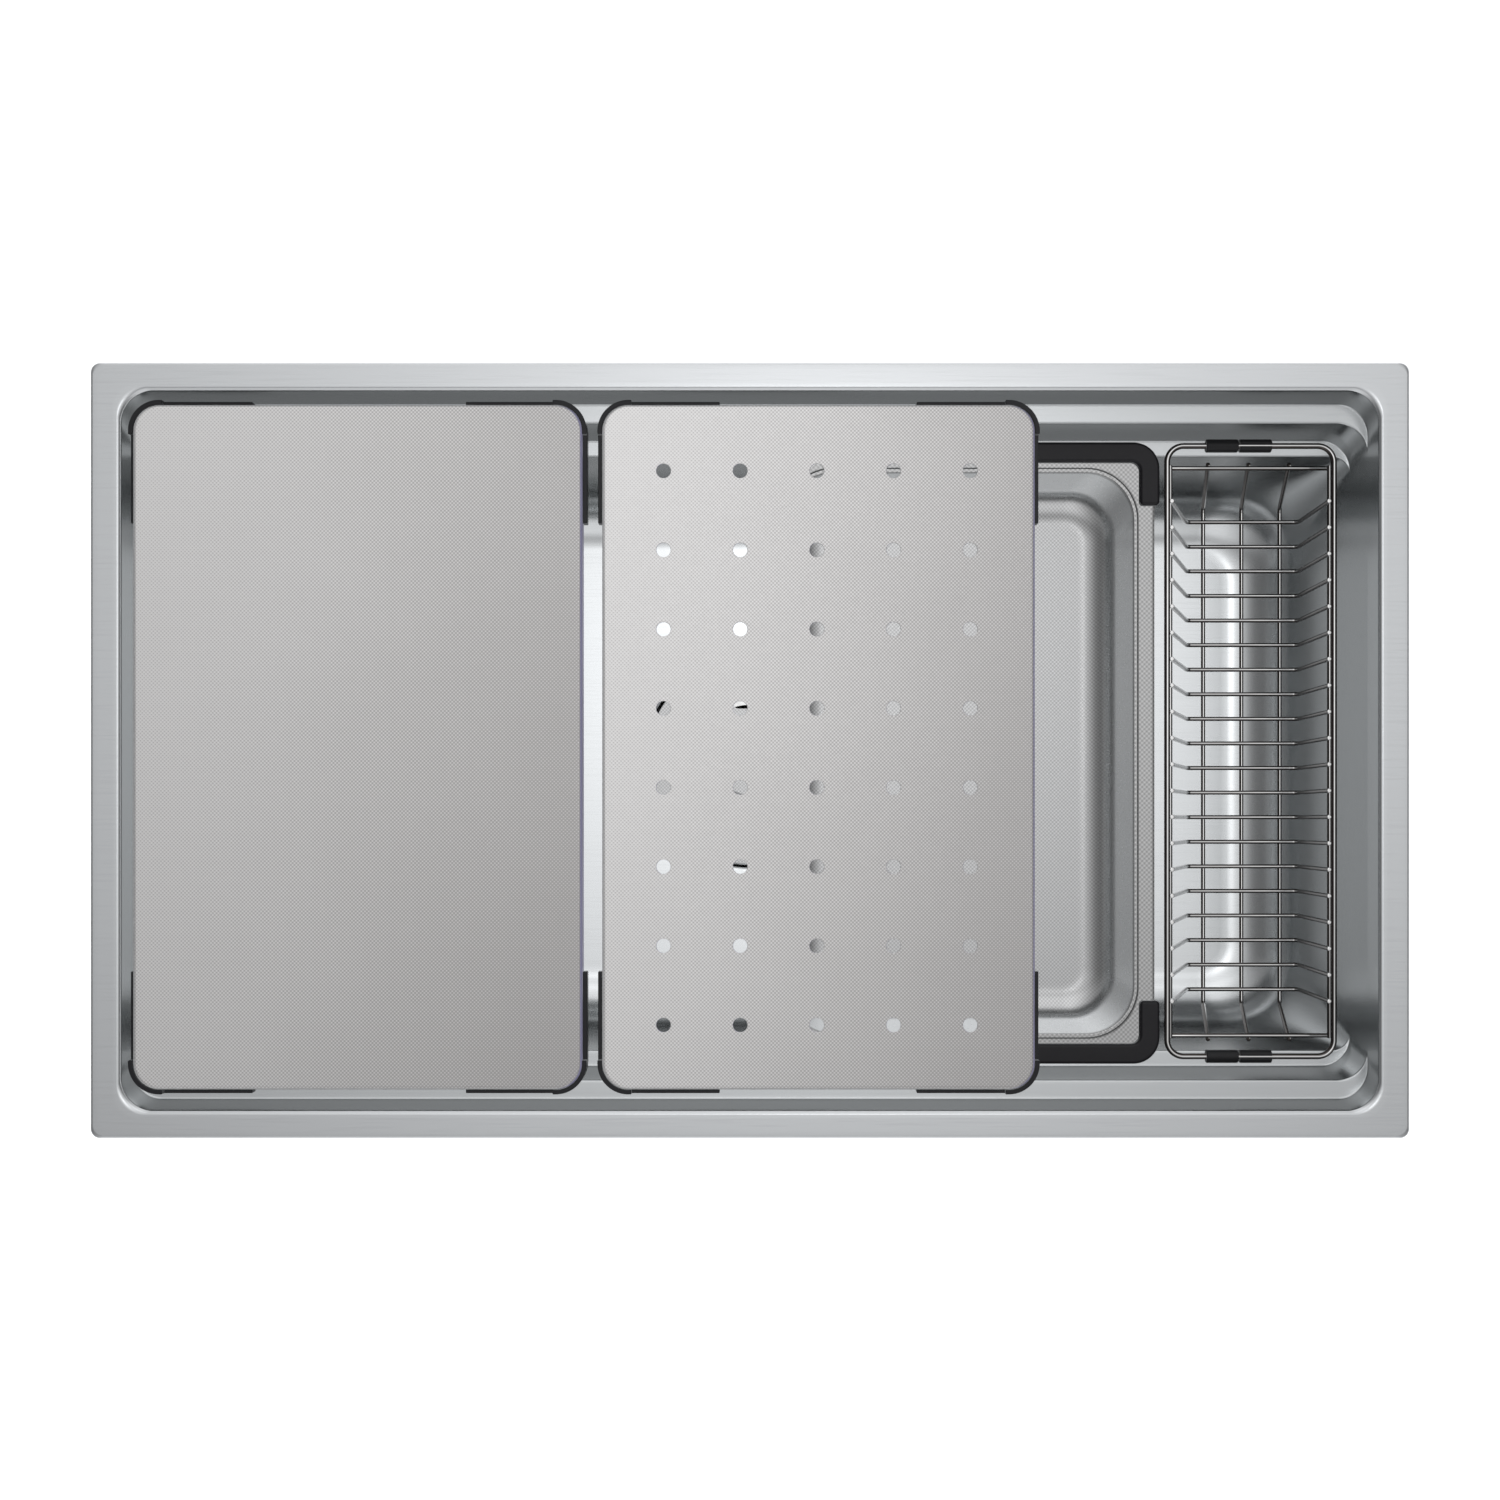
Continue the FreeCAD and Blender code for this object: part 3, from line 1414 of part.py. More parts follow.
def basket_ribs():
    """The row of bent cross wires that make the basket's sides and bottom."""
    body = new_body("basket_ribs", many=True)
    first_y = -size.rib_pitch * (size.rib_count - 1) / 2
    path = new_sketch(body, "rib_path", "XZ_Plane", -first_y)
    corners = [
        (rib_right, rib_top),
        (rib_point(rib_bottom, False), rib_bottom),
        (rib_point(rib_bottom, True), rib_bottom),
        (rib_left, rib_top),
    ]
    draw_bent_path(path, corners, size.rib_bend_radius)
    profile = new_sketch(body, "rib_section", lift=rib_top)
    draw_wire_section(profile, rib_right, first_y, size.rib_wire)
    first = sweep(body, profile, path, "rib")
    repeat_along(body, first, profile, "V_Axis", size.rib_pitch, size.rib_count)
    place(body, 0, size.basket_offset, 0)
    return node(body, "basket_ribs")


def repeat_along(body, feature, sketch, axis, pitch, count, name="row"):
    """Repeats a feature along one axis of a sketch."""
    pattern = body.newObject("PartDesign::LinearPattern", name)
    pattern.Originals = [feature]
    pattern.Direction = (sketch, [axis])
    bind(pattern, "Length", pitch * (count - 1))
    bind(pattern, "Occurrences", count)
    body.Tip = pattern
    return pattern


def straight_wires(name, plane, places, start, length, diameter):
    """Straight round wires along the normal of a plane, at each place on that plane."""
    body = new_body(name, many=True)
    for i, (x, y) in enumerate(places):
        sketch = new_sketch(body, f"{name}_section_{i}", plane, start)
        draw_circle(sketch, x, y, diameter / 2)
        pad(body, sketch, length, name=f"{name}_wire_{i}")
    place(body, 0, size.basket_offset, 0)
    return node(body, name)


def basket_side_rails():
    """A second wire low on each long side, on the outside of the ribs."""
    out = size.rib_wire - size.weld_depth
    height = lower_rail_height
    places = [
        (rib_point(height, True) - out, height),
        (rib_point(height, False) + out, height),
    ]
    length = size.end_wire_width + size.rib_wire
    return straight_wires("basket_side_rails", "XZ_Plane", places, -length / 2, length, size.rib_wire)


def basket_end_wires():
    """A cross wire at each end, resting on the side rails."""
    height = lower_rail_height - size.rib_wire + size.weld_depth
    start = rib_point(lower_rail_height, True) - size.rib_wire
    end = rib_point(lower_rail_height, False) + size.rib_wire
    half = size.end_wire_width / 2
    places = [(-half, height), (half, height)]
    return straight_wires("basket_end_wires", "YZ_Plane", places, start, end - start, size.rib_wire)


def basket_long_wires():
    """The wires under the ribs, bent up at both ends to the end wires."""
    body = new_body("basket_long_wires", many=True)
    out = size.rib_wire - size.weld_depth
    bottom = rib_bottom - out
    top = lower_rail_height - out
    row = size.long_wire_pitch * (size.long_wire_count - 1)
    lean = (rib_middle(rib_bottom) - rib_middle(lower_rail_height)) / (top - bottom)
    slant = (lean * lean + 1).root()
    first_x = rib_middle(rib_bottom) - row / 2 + lean * bottom
    end = size.end_wire_width / 2 + out
    reach = size.long_wire_reach + size.rib_pitch / 2
    path = new_sketch(body, "long_wire_path", "YZ_Plane", first_x)
    tilt_sketch(path, lean)
    low, high = bottom * slant, top * slant
    corners = [(-end, high), (-reach, low), (reach, low), (end, high)]
    draw_bent_path(path, corners, size.long_wire_bend_radius)
    profile = new_sketch(body, "long_wire_section", lift=top)
    draw_wire_section(profile, first_x - lean * top, -end, size.rib_wire)
    first = sweep(body, profile, path, "long_wire")
    repeat_along(body, first, profile, "H_Axis", size.long_wire_pitch, size.long_wire_count)
    place(body, 0, size.basket_offset, 0)
    return node(body, "basket_long_wires")


def tilt_sketch(sketch, lean):
    """Leans a sketch on the YZ plane about its own horizontal axis, by lean along X for each unit down."""
    angle = -math.degrees(math.atan(float(lean)))
    turn = FreeCAD.Rotation(FreeCAD.Vector(1, 0, 0), angle)
    sketch.AttachmentOffset = FreeCAD.Placement(sketch.AttachmentOffset.Base, turn)
    sketch.setExpression(".AttachmentOffset.Rotation.Angle", f"atan({(-lean).text})")


def basket_sleeves():
    """Two rubber sleeves on each end of the rim wire, which stand on the lower ledge."""
    body = new_body("basket_sleeves", many=True)
    for end in (-1, 1):
        for step in (-1, 1):
            start = size.sleeve_centre + size.sleeve_spacing * (step / 2) - size.sleeve_length / 2
            label = f"sleeve_{end + 1}_{step + 1}"
            sketch = new_sketch(body, label, "YZ_Plane", start)
            y = size.basket_width * (end / 2)
            draw_circle(sketch, y, rim_wire_height, size.sleeve_radius)
            draw_circle(sketch, y, rim_wire_height, size.rim_wire / 2 + size.running_gap)
            pad(body, sketch, size.sleeve_length, name=label + "_pad")
    place(body, 0, size.basket_offset, 0)
    return node(body, "basket_sleeves")


def check_document():
    """Stops if any object failed or any sub-part has no good shape."""
    doc.recompute()
    failed = [item.Name for item in doc.Objects if "Invalid" in item.State or "Error" in item.State]
    if failed:
        raise RuntimeError(f"failed: {failed}")
    for item in nodes:
        shape = item.Shape
        if shape.isNull() or not shape.isValid() or not shape.Solids:
            raise RuntimeError(f"{item.Label} has no good shape")


def export_nodes():
    """Writes each sub-part to its own file."""
    os.makedirs("parts", exist_ok=True)
    for item in nodes:
        item.Shape.exportStep(f"parts/{item.Label}.step")
        box = item.Shape.BoundBox
        spans = (box.XMin, box.XMax, box.YMin, box.YMax, box.ZMin, box.ZMax)
        reach = " ".join(f"{place:.1f}" for place in spans)
        print(f"{item.Label}: {len(item.Shape.Solids)} solids, {item.Shape.Volume:.0f} mm3, spans {reach}")


sink_bowl()
rim_seal()
sound_pads()
clip_rails()
rim_clips()
clip_screws()
waste()
strainer()
cover()
board("plain_board", size.plain_board_length, size.plain_board_centre, holed=False)
board("holed_board", size.holed_board_length, size.holed_board_centre, holed=True)
tray()
tray_handle("tray_handle_back", 0)
tray_handle("tray_handle_front", 180)
basket_rim()
basket_ribs()
basket_side_rails()
basket_end_wires()
basket_long_wires()
basket_sleeves()
check_document()
export_nodes()
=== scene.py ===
import json
import math

import bpy
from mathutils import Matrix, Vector


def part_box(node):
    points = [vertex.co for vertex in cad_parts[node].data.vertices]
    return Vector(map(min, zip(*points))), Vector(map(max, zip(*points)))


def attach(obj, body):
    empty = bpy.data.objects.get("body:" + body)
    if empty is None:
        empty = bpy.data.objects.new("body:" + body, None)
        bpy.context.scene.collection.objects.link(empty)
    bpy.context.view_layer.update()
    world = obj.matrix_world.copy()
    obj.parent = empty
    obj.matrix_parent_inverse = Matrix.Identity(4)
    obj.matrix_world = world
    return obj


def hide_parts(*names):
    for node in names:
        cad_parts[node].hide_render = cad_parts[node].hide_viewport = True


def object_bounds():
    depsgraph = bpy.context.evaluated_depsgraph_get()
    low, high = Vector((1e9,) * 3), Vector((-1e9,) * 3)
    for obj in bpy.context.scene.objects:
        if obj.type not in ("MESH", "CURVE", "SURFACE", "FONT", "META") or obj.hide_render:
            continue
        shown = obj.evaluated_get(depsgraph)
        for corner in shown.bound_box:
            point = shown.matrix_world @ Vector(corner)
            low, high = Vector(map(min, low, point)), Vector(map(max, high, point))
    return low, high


# Kitchen sink seen from straight above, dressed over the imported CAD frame.
# Shapes are worked out in millimetres and turned into metres when their mesh is made.

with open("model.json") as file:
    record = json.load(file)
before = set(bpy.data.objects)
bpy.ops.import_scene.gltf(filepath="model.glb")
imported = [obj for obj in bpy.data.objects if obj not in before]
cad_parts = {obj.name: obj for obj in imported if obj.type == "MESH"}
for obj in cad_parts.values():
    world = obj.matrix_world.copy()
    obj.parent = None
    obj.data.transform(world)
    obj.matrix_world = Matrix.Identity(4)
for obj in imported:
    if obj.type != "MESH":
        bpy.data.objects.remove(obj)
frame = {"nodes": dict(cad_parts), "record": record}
cad_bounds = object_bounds()

MM = 0.001
UP = Vector((0, 0, 1))
RIGHT = Vector((1, 0, 0))

# Camera: straight above, a little before the middle of the sink, with its place in metres
CAMERA_PLACE = (0.0, -0.045, 1.153)
CAMERA_LENS = 42.895
CAMERA_SHIFT = 0.04695
CAMERA_NEAR = 0.01

# Light overhead, a wide soft one and a small brighter one. Centres and widths are slopes, which say how far
# a ray goes along X and Y while it rises by 1. A ray of length 1 counts as rising by LOWEST_RISE at least.
WIDE_LIGHT = {"level": 0.76, "centre": (0.064, 0.20), "width": (0.47, 0.39)}
SMALL_LIGHT = {"level": 1.3, "centre": (0.038, 0.10), "width": (0.07, 0.08)}
LOWEST_RISE = 0.02

# Light from the front and the back: the slopes where it starts and where it is full, and its width along X
FRONT_LEVEL = 0.62
BACK_LEVEL = 0.7
END_SLOPES = (0.35, 0.75)
END_WIDTH = 0.4

# Dim room. Its pale walls start where a ray of length 1 rises by the first of WALL_HEIGHTS and are full
# where it rises by the second, and they lose level towards the left and the right.
ROOM_LEVEL = 0.13
WALL_LEVEL = 0.85
WALL_HEIGHTS = (0.34, 0.16)
LEFT_WALL_LOSS = 0.9
RIGHT_WALL_LOSS = 0.25
LIGHT_COLOUR = (0.985, 0.99, 1.0)

# Floor, with its half width in metres
FLOOR_COLOUR = (0.8, 0.8, 0.8)
FLOOR_GLOW = 0.93
FLOOR_REACH = 60.0

# Pressed bowl
SHEET = 1.0
RIM_HALF_LENGTH = 425.0
RIM_HALF_WIDTH = 250.0
RIM_TOP = 3.0
RIM_CORNER = 6.0
RIM_EDGE = 2.0
OPENING_X = 405.0
OPENING_Y = 232.0
OPENING_CORNER = 20.0
OPENING_EDGE = 2.5
LEDGE_HEIGHTS = (-19.0, -49.0)
LEDGE_FALL = 0.3
LEDGE_ROOT = 1.2
LEDGE_EDGE = 1.2
UPPER_FOOT_Y = 227.6
MIDDLE_TOP_Y = 215.4
MIDDLE_FOOT_Y = 210.2
LOWER_TOP_Y = 199.6
LOWER_CORNER = 12.0
FLOOR_HEIGHT = -197.0
FLOOR_X = 396.0
FLOOR_Y = 195.0
FLOOR_CORNER = 60.0
FLOOR_ROUND = 36.0
WELL_RADIUS = 80.0
WELL_EDGE = 3.0
WELL_DEPTH = 14.0
OUTLET_RADIUS = 45.5

# Tray
TRAY_SHEET = 0.8
TRAY_CORNER = 8.0
TRAY_BORDER = 14.0
TRAY_BEAD_HEIGHT = 1.2
TRAY_BEAD_WIDTH = 3.0
TRAY_HOLLOW_CORNER = 32.0
TRAY_DRAFT = 8.0
TRAY_DEPTH = 50.0
TRAY_FLOOR_ROUND = 18.0

# Wire basket, with the distance between the middles of two ribs' wires that are welded together
RIM_WIRE = 4.0
RIB_WIRE = 3.0
RIB_RADIUS = RIB_WIRE / 2
WELD = 0.3
CROSSING = RIB_WIRE - WELD
BASKET_CORNER = 11.0
RIB_COUNT = 20
RIB_PITCH = 17.632
RIB_BEND = 4.0
RIB_CUT = Vector((0, 0, 0.9))
BASKET_HEIGHT = 86.0
LEFT_SLOPE = 30.5
RIGHT_FLARE = 5.4
RIB_RISE = 1.0
RAIL_DROP = 10.0
LONG_COUNT = 3
LONG_PITCH = 27.48
LONG_SLOPE = 22.7
LONG_BEND = 5.0

# Sleeves on the basket's rim wire, slit below at the left and above at the right
SLEEVE_RADIUS = 4.4
SLEEVE_LENGTH = 21.2
SLEEVE_SLIT = math.radians(28)
SLIT_BELOW = -math.pi / 2
SLIT_ABOVE = math.pi / 2
SLEEVE_ROOM = 0.05
SLEEVE_SOFT_EDGE = 0.6
SLEEVE_SOFTER_SHARE = 0.3

# Rings at a wire's end: distance from the end and radius, as shares of the wire's radius
WIRE_END_SHARES = ((0.0, 0.6), (0.0, 0.82), (0.1, 0.95), (0.28, 1.0))

# How far a wire's surface faces up, kept with each point of its mesh, where the wire's material paints a
# highlight along the top and shade at the sides. Where a wire's direction goes less than UPRIGHT_WIRE
# sideways, all of its surface counts as facing up. Where it starts off steeper than STEEP_WIRE, its rings of
# points start at the right and not at the top.
CROWN = "crown"
UPRIGHT_WIRE = 0.05
STEEP_WIRE = 0.5

# Rounding of the edges of CAD nodes: points closer than SAME_POINT become one, faces that meet at less than
# FLAT_ANGLE too, and edges sharper than EDGE_ANGLE are rounded
NODE_SOFTNESS = 0.4
NODE_SEGMENTS = 2
SAME_POINT = 0.001
FLAT_ANGLE = math.radians(1)
EDGE_ANGLE = math.radians(35)

# Fineness of the meshes. A bend that reaches further than WIDE_ROUND has twice the steps, and the innermost
# outline of a sheet has the smallest corner.
WIRE_SIDES = 16
SLEEVE_SIDES = 28
STRAIGHT_STEPS = 4
LONG_SIDE_STEPS = 32
SHORT_SIDE_STEPS = 12
ARC_STEPS = 18
ROUND_STEPS = 6
WIDE_ROUND = 6.0
SMALLEST_CORNER = 1.0

# How much the larger faces lead the shading, where 50 is even
FACE_WEIGHT = 100

# Flat part of the bowl's floor, towards whose corners the points of every outline spread
FLOOR_FLAT_X = FLOOR_X - FLOOR_CORNER
FLOOR_FLAT_Y = FLOOR_Y - FLOOR_CORNER

# Finishes of the bowl: the heights in metres, and how far a surface faces along an axis, between which one
# look becomes another, and the brushed lines and grain. Below the rim the steel gets painted shade, darker on
# steep walls and darkest on walls facing the front and back, and the deep floor gets painted light.
LEDGE_SHADE_HEIGHTS = (-0.002, -0.015)
FLOOR_LIGHT_HEIGHTS = (-0.12, -0.17)
WALL_SHADE_FACING = (0.4, 0.15)
LONG_WALL_SHADE_FACING = (0.75, 0.97)
BRUSH_PER_METRE = (25, 900, 900)
BRUSH_REACH = 0.08
GRAIN_SHARE = 0.5

# Finishes of the boards: pitch of the diamonds in metres, loss of the painted sheen towards the right and the
# front, and how far a surface faces where the edges, with their painted highlight, begin and are full
BOARD_DIAMOND = 0.0024
BOARD_CONTRAST = 0.5
PAINTED_SHEEN_LOSS_RIGHT = 0.78
PAINTED_SHEEN_LOSS_FRONT = 0.22
BOARD_EDGE_HIGHLIGHT = (0.97, 0.8)
RIGHT_EDGE_REFLECTION = (0.0, 0.5)
EDGE_METAL = 0.2

# Finishes of the tray: pitches and heights in metres, and how far a surface faces up where the pattern and
# the painted light on the walls begin and are full
FLANGE_DIAMOND = 0.0031
LINEN_DIAMOND = 0.0026
FLANGE_HEIGHTS = (-0.047, -0.0455)
TRAY_PATTERN = (0.5, 0.95)
TRAY_WALL_LIGHT = (0.99, 0.85)
TRAY_SHADES = (1.28, 0.72)

# Other finishes: how far up a wire faces where the painted highlight on its crown begins and is full, how far
# clouds change a colour, the waste's turned rings in radians per metre, the zinc's crystals per metre, and
# the gloss and roughness of plastic and rubber
CROWN_HIGHLIGHT = (0.91, 1.0)
CLOUD_REACH = 0.06
RING_TURNS = 9000
ZINC_PER_METRE = 260.0
PLASTIC_GLOSS = 0.35
PLASTIC_ROUGHNESS_SPREAD = 0.15

# Places of a mix node's sockets for colours
MIX_SHARE, MIX_FIRST, MIX_SECOND, MIX_RESULT = 0, 6, 7, 2


def node_box(name):
    """Lowest and highest corner of a CAD node in millimetres."""
    low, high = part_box(name)
    return low / MM, high / MM


def lerp(start, end, share):
    """The number that lies a share of the way from start to end."""
    return start + (end - start) * share


# Meshes


def make_piece(name, points, faces, material, body):
    """A mesh piece of the object, on its CAD body and with its record slot."""
    mesh = bpy.data.meshes.new(name)
    mesh.from_pydata([Vector(point[:3]) * MM for point in points], [], faces)
    if len(points[0]) > 3:
        crown = mesh.attributes.new(CROWN, "FLOAT", "POINT")
        crown.data.foreach_set("value", [point[3] for point in points])
    mesh.update()
    mesh.validate()
    for polygon in mesh.polygons:
        polygon.use_smooth = True
    mesh.materials.append(material)
    piece = bpy.data.objects.new(name, mesh)
    bpy.context.scene.collection.objects.link(piece)
    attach(piece, body)
    return piece


def side_shares(half_length, distance, count):
    """Places along a side from -1 to nearly 1, evenly turned as seen from the middle."""
    reach = math.atan2(half_length, distance)
    return [math.tan(reach * (2 * i / count - 1)) / math.tan(reach) for i in range(count)]


LONG_SHARES = side_shares(FLOOR_FLAT_X, FLOOR_FLAT_Y, LONG_SIDE_STEPS)
SHORT_SHARES = side_shares(FLOOR_FLAT_Y, FLOOR_FLAT_X, SHORT_SIDE_STEPS)


def rectangle_loop(half_x, half_y, radius, z, centre=(0, 0)):
    """A rounded rectangle, counter-clockwise from the left end of its front side."""
    inner_x, inner_y = half_x - radius, half_y - radius
    points = []
    for quarter, (corner_x, corner_y) in enumerate(((1, -1), (1, 1), (-1, 1), (-1, -1))):
        if quarter % 2 == 0:
            points += [(share * corner_x * inner_x, corner_y * half_y) for share in LONG_SHARES]
        else:
            points += [(corner_x * half_x, share * corner_y * inner_y) for share in SHORT_SHARES]
        for i in range(ARC_STEPS):
            angle = math.pi / 2 * (quarter - 1 + i / ARC_STEPS)
            x = corner_x * inner_x + radius * math.cos(angle)
            y = corner_y * inner_y + radius * math.sin(angle)
            points.append((x, y))
    return [Vector((centre[0] + x, centre[1] + y, z)) for x, y in points]


def circle_loop(pattern, radius, z):
    """A circle whose points lie in the same directions as those of another loop."""
    return [Vector((p.x, p.y, 0)).normalized() * radius + Vector((0, 0, z)) for p in pattern]


def skin(loops, wrap=False, start_cap=False, end_cap=False):
    """Points and faces of the surface through loops, each with the same number of points.

    With wrap the last loop joins the first. A cap closes the first or the last loop.
    """
    count = len(loops[0])
    points = [point for loop in loops for point in loop]
    faces = []
    for ring in range(len(loops) if wrap else len(loops) - 1):
        low, high = ring * count, (ring + 1) % len(loops) * count
        for i in range(count):
            after = (i + 1) % count
            faces.append((low + i, low + after, high + after, high + i))
    if start_cap:
        faces.append(tuple(reversed(range(count))))
    if end_cap:
        faces.append(tuple(range(len(points) - count, len(points))))
    return points, faces


def joined(parts):
    """Points and faces of several parts as one."""
    points, faces = [], []
    for part_points, part_faces in parts:
        start = len(points)
        points += part_points
        faces += [tuple(i + start for i in face) for face in part_faces]
    return points, faces


def turn_between(one, other):
    """The angle between two directions, in any number of dimensions."""
    share = one.dot(other) / (one.length * other.length)
    return math.acos(max(-1.0, min(1.0, share)))


def round_corner(start, corner, end, steps):
    """Points of a soft corner between two points, in any number of dimensions."""
    weight = math.cos(turn_between(corner - start, end - corner) / 2)
    found = []
    for i in range(steps + 1):
        t = i / steps
        a, b, c = (1 - t) ** 2, 2 * weight * t * (1 - t), t**2
        found.append((start * a + corner * b + end * c) / (a + b + c))
    return found


def station_step(start, end, reach):
    """The station that lies reach millimetres from start towards end, across or down."""
    step = end - start
    across, down = abs(step[1]), abs(step[3])
    return start + step * (reach / max(across, down))


def press_path(stations):
    """Outlines through stations, with soft bends at those whose reach isn't 0.

    A station is its outline's half length, half width, corner radius and height, and then its bend's reach.
    """
    path = []
    for i, (station, reach) in enumerate(stations):
        here = Vector(station)
        bend = [here]
        if reach:
            before, after = Vector(stations[i - 1][0]), Vector(stations[i + 1][0])
            start, end = station_step(here, before, reach), station_step(here, after, reach)
            steps = ROUND_STEPS * 2 if reach > WIDE_ROUND else ROUND_STEPS
            bend = round_corner(start, here, end, steps)
        if path:
            last = path[-1]
            path += [last.lerp(bend[0], k / (STRAIGHT_STEPS + 1)) for k in range(1, STRAIGHT_STEPS + 1)]
        path += bend
    return path


def bent_path(corners, radius):
    """A line through the corners in millimetres, with a round bend at each inner one."""
    corners = [Vector(c) for c in corners]
    path = [corners[0]]
    for before, here, after in zip(corners, corners[1:], corners[2:]):
        reach = radius * math.tan(turn_between(here - before, after - here) / 2)
        start = here + (before - here).normalized() * reach
        end = here + (after - here).normalized() * reach
        path += round_corner(start, here, end, ROUND_STEPS)
    return path + [corners[-1]]


def straight_line(start, end):
    """Points along a straight line."""
    return [Vector(start).lerp(Vector(end), i / STRAIGHT_STEPS) for i in range(STRAIGHT_STEPS + 1)]


def wire_rings(path, radius, closed):
    """Centre, direction and radius of each ring of a wire's points, rounded at the ends of an open wire."""
    count = len(path)
    rings = []
    for i in range(count):
        before = path[i - 1] if i or closed else path[i]
        after = path[(i + 1) % count] if i < count - 1 or closed else path[i]
        rings.append((path[i], (after - before).normalized(), radius))
    if closed:
        return rings
    head, tail = rings[0][1], rings[-1][1]
    first = [(path[0] + head * (radius * d), head, radius * s) for d, s in WIRE_END_SHARES]
    last = [(path[-1] - tail * (radius * d), tail, radius * s) for d, s in WIRE_END_SHARES]
    return first + rings[1:-1] + last[::-1]


def tube(path, radius, closed=False):
    """Points and faces of a round wire along a path. A point's fourth number says how far it faces up."""
    rings = wire_rings(path, radius, closed)
    side = UP if abs(rings[0][1].z) < STEEP_WIRE else RIGHT
    loops = []
    for centre, direction, size in rings:
        side = (side - direction * side.dot(direction)).normalized()
        across = direction.cross(side)
        crown = UP - direction * direction.z
        loop = []
        for k in range(WIRE_SIDES):
            angle = 2 * math.pi * k / WIRE_SIDES
            outward = side * math.cos(angle) + across * math.sin(angle)
            upward = outward.dot(crown.normalized()) if crown.length > UPRIGHT_WIRE else 1.0
            loop.append((*(centre + outward * size), upward))
        loops.append(loop)
    return skin(loops, wrap=closed, start_cap=not closed, end_cap=not closed)


def shade_evenly(item, keep_sharp):
    """Lets the larger faces of a piece lead its shading."""
    shading = item.modifiers.new("shading", "WEIGHTED_NORMAL")
    shading.weight = FACE_WEIGHT
    shading.keep_sharp = keep_sharp


def finish_sheet(piece, thickness):
    """Gives a sheet its thickness away from its visible side and shades it evenly."""
    solid = piece.modifiers.new("thickness", "SOLIDIFY")
    solid.thickness = thickness * MM
    solid.offset = -1
    shade_evenly(piece, keep_sharp=True)


def soften(node):
    """Rounds the hard edges of a CAD node so that they catch the light."""
    node.modifiers.new("weld", "WELD").merge_threshold = SAME_POINT * MM
    flat = node.modifiers.new("flat", "DECIMATE")
    flat.decimate_type = "DISSOLVE"
    flat.angle_limit = FLAT_ANGLE
    bevel = node.modifiers.new("bevel", "BEVEL")
    bevel.width = NODE_SOFTNESS * MM
    bevel.segments = NODE_SEGMENTS
    bevel.limit_method = "ANGLE"
    bevel.angle_limit = EDGE_ANGLE
    shade_evenly(node, keep_sharp=True)


# Nodes of materials and of the world


def coordinate(tree, kind):
    """Where each point of a surface lies or faces, as Object, Generated or Normal coordinates."""
    return tree.nodes.new("ShaderNodeTexCoord").outputs[kind]


def new_material(name, colour, metallic, roughness):
    """A material with its tree, its shader and the place of each surface point in its object's frame."""
    material = bpy.data.materials.new(name)
    material.use_nodes = True
    tree = material.node_tree
    shader = tree.nodes["Principled BSDF"]
    shader.inputs["Base Color"].default_value = (*colour, 1)
    shader.inputs["Metallic"].default_value = metallic
    shader.inputs["Roughness"].default_value = roughness
    return material, tree, shader, coordinate(tree, "Object")


def add_node(tree, kind, inputs, **settings):
    """A node with its settings and inputs, each input a plain value or another node's output."""
    item = tree.nodes.new(kind)
    for key, value in settings.items():
        setattr(item, key, value)
    for key, value in inputs.items():
        if isinstance(value, bpy.types.NodeSocket):
            tree.links.new(value, item.inputs[key])
        else:
            item.inputs[key].default_value = value
    return item


def calculate(tree, operation, first, second=0.0):
    """The number that an operation makes of one or two numbers."""
    item = add_node(tree, "ShaderNodeMath", {0: first, 1: second}, operation=operation)
    return item.outputs[0]


def plus(tree, first, second):
    """The sum of two numbers."""
    return calculate(tree, "ADD", first, second)


def times(tree, first, second):
    """The product of two numbers."""
    return calculate(tree, "MULTIPLY", first, second)


def rest_of(tree, share):
    """What a share leaves of 1."""
    return calculate(tree, "SUBTRACT", 1.0, share)


def axes_of(tree, vector):
    """The parts of a vector along X, Y and Z."""
    return add_node(tree, "ShaderNodeSeparateXYZ", {"Vector": vector}).outputs


def stretched(tree, place, scale):
    """The place scaled by its own factor along each axis."""
    return add_node(tree, "ShaderNodeMapping", {"Vector": place, "Scale": scale}).outputs["Vector"]


def noise(tree, place, per_metre, detail=2.0, roughness=0.5):
    """Smooth noise between 0 and 1, with per_metre as its fineness."""
    inputs = {"Vector": place, "Scale": per_metre, "Detail": detail, "Roughness": roughness}
    return add_node(tree, "ShaderNodeTexNoise", inputs).outputs["Fac"]


def ranged(tree, value, low, high):
    """A value between 0 and 1 spread from low to high."""
    inputs = {"Value": value, "To Min": low, "To Max": high}
    return add_node(tree, "ShaderNodeMapRange", inputs).outputs["Result"]


def passing(tree, value, start, end, curve="LINEAR"):
    """How far a value has gone from start to end, between 0 and 1."""
    inputs = {"Value": value, "From Min": start, "From Max": end}
    return add_node(tree, "ShaderNodeMapRange", inputs, interpolation_type=curve).outputs["Result"]


def facing(tree, axis, start, end, one_way=False):
    """How far the surface's facing along an axis has gone from start to end, one way or both ways alike."""
    direction = axes_of(tree, coordinate(tree, "Normal"))[axis]
    if not one_way:
        direction = calculate(tree, "ABSOLUTE", direction)
    return passing(tree, direction, start, end)


def blended(tree, share, first, second):
    """The colour between two colours, each a plain one or another node's output."""
    item = tree.nodes.new("ShaderNodeMix")
    item.data_type = "RGBA"
    tree.links.new(share, item.inputs[MIX_SHARE])
    for place, colour in ((MIX_FIRST, first), (MIX_SECOND, second)):
        if isinstance(colour, bpy.types.NodeSocket):
            tree.links.new(colour, item.inputs[place])
        else:
            item.inputs[place].default_value = (*colour, 1)
    return item.outputs[MIX_RESULT]


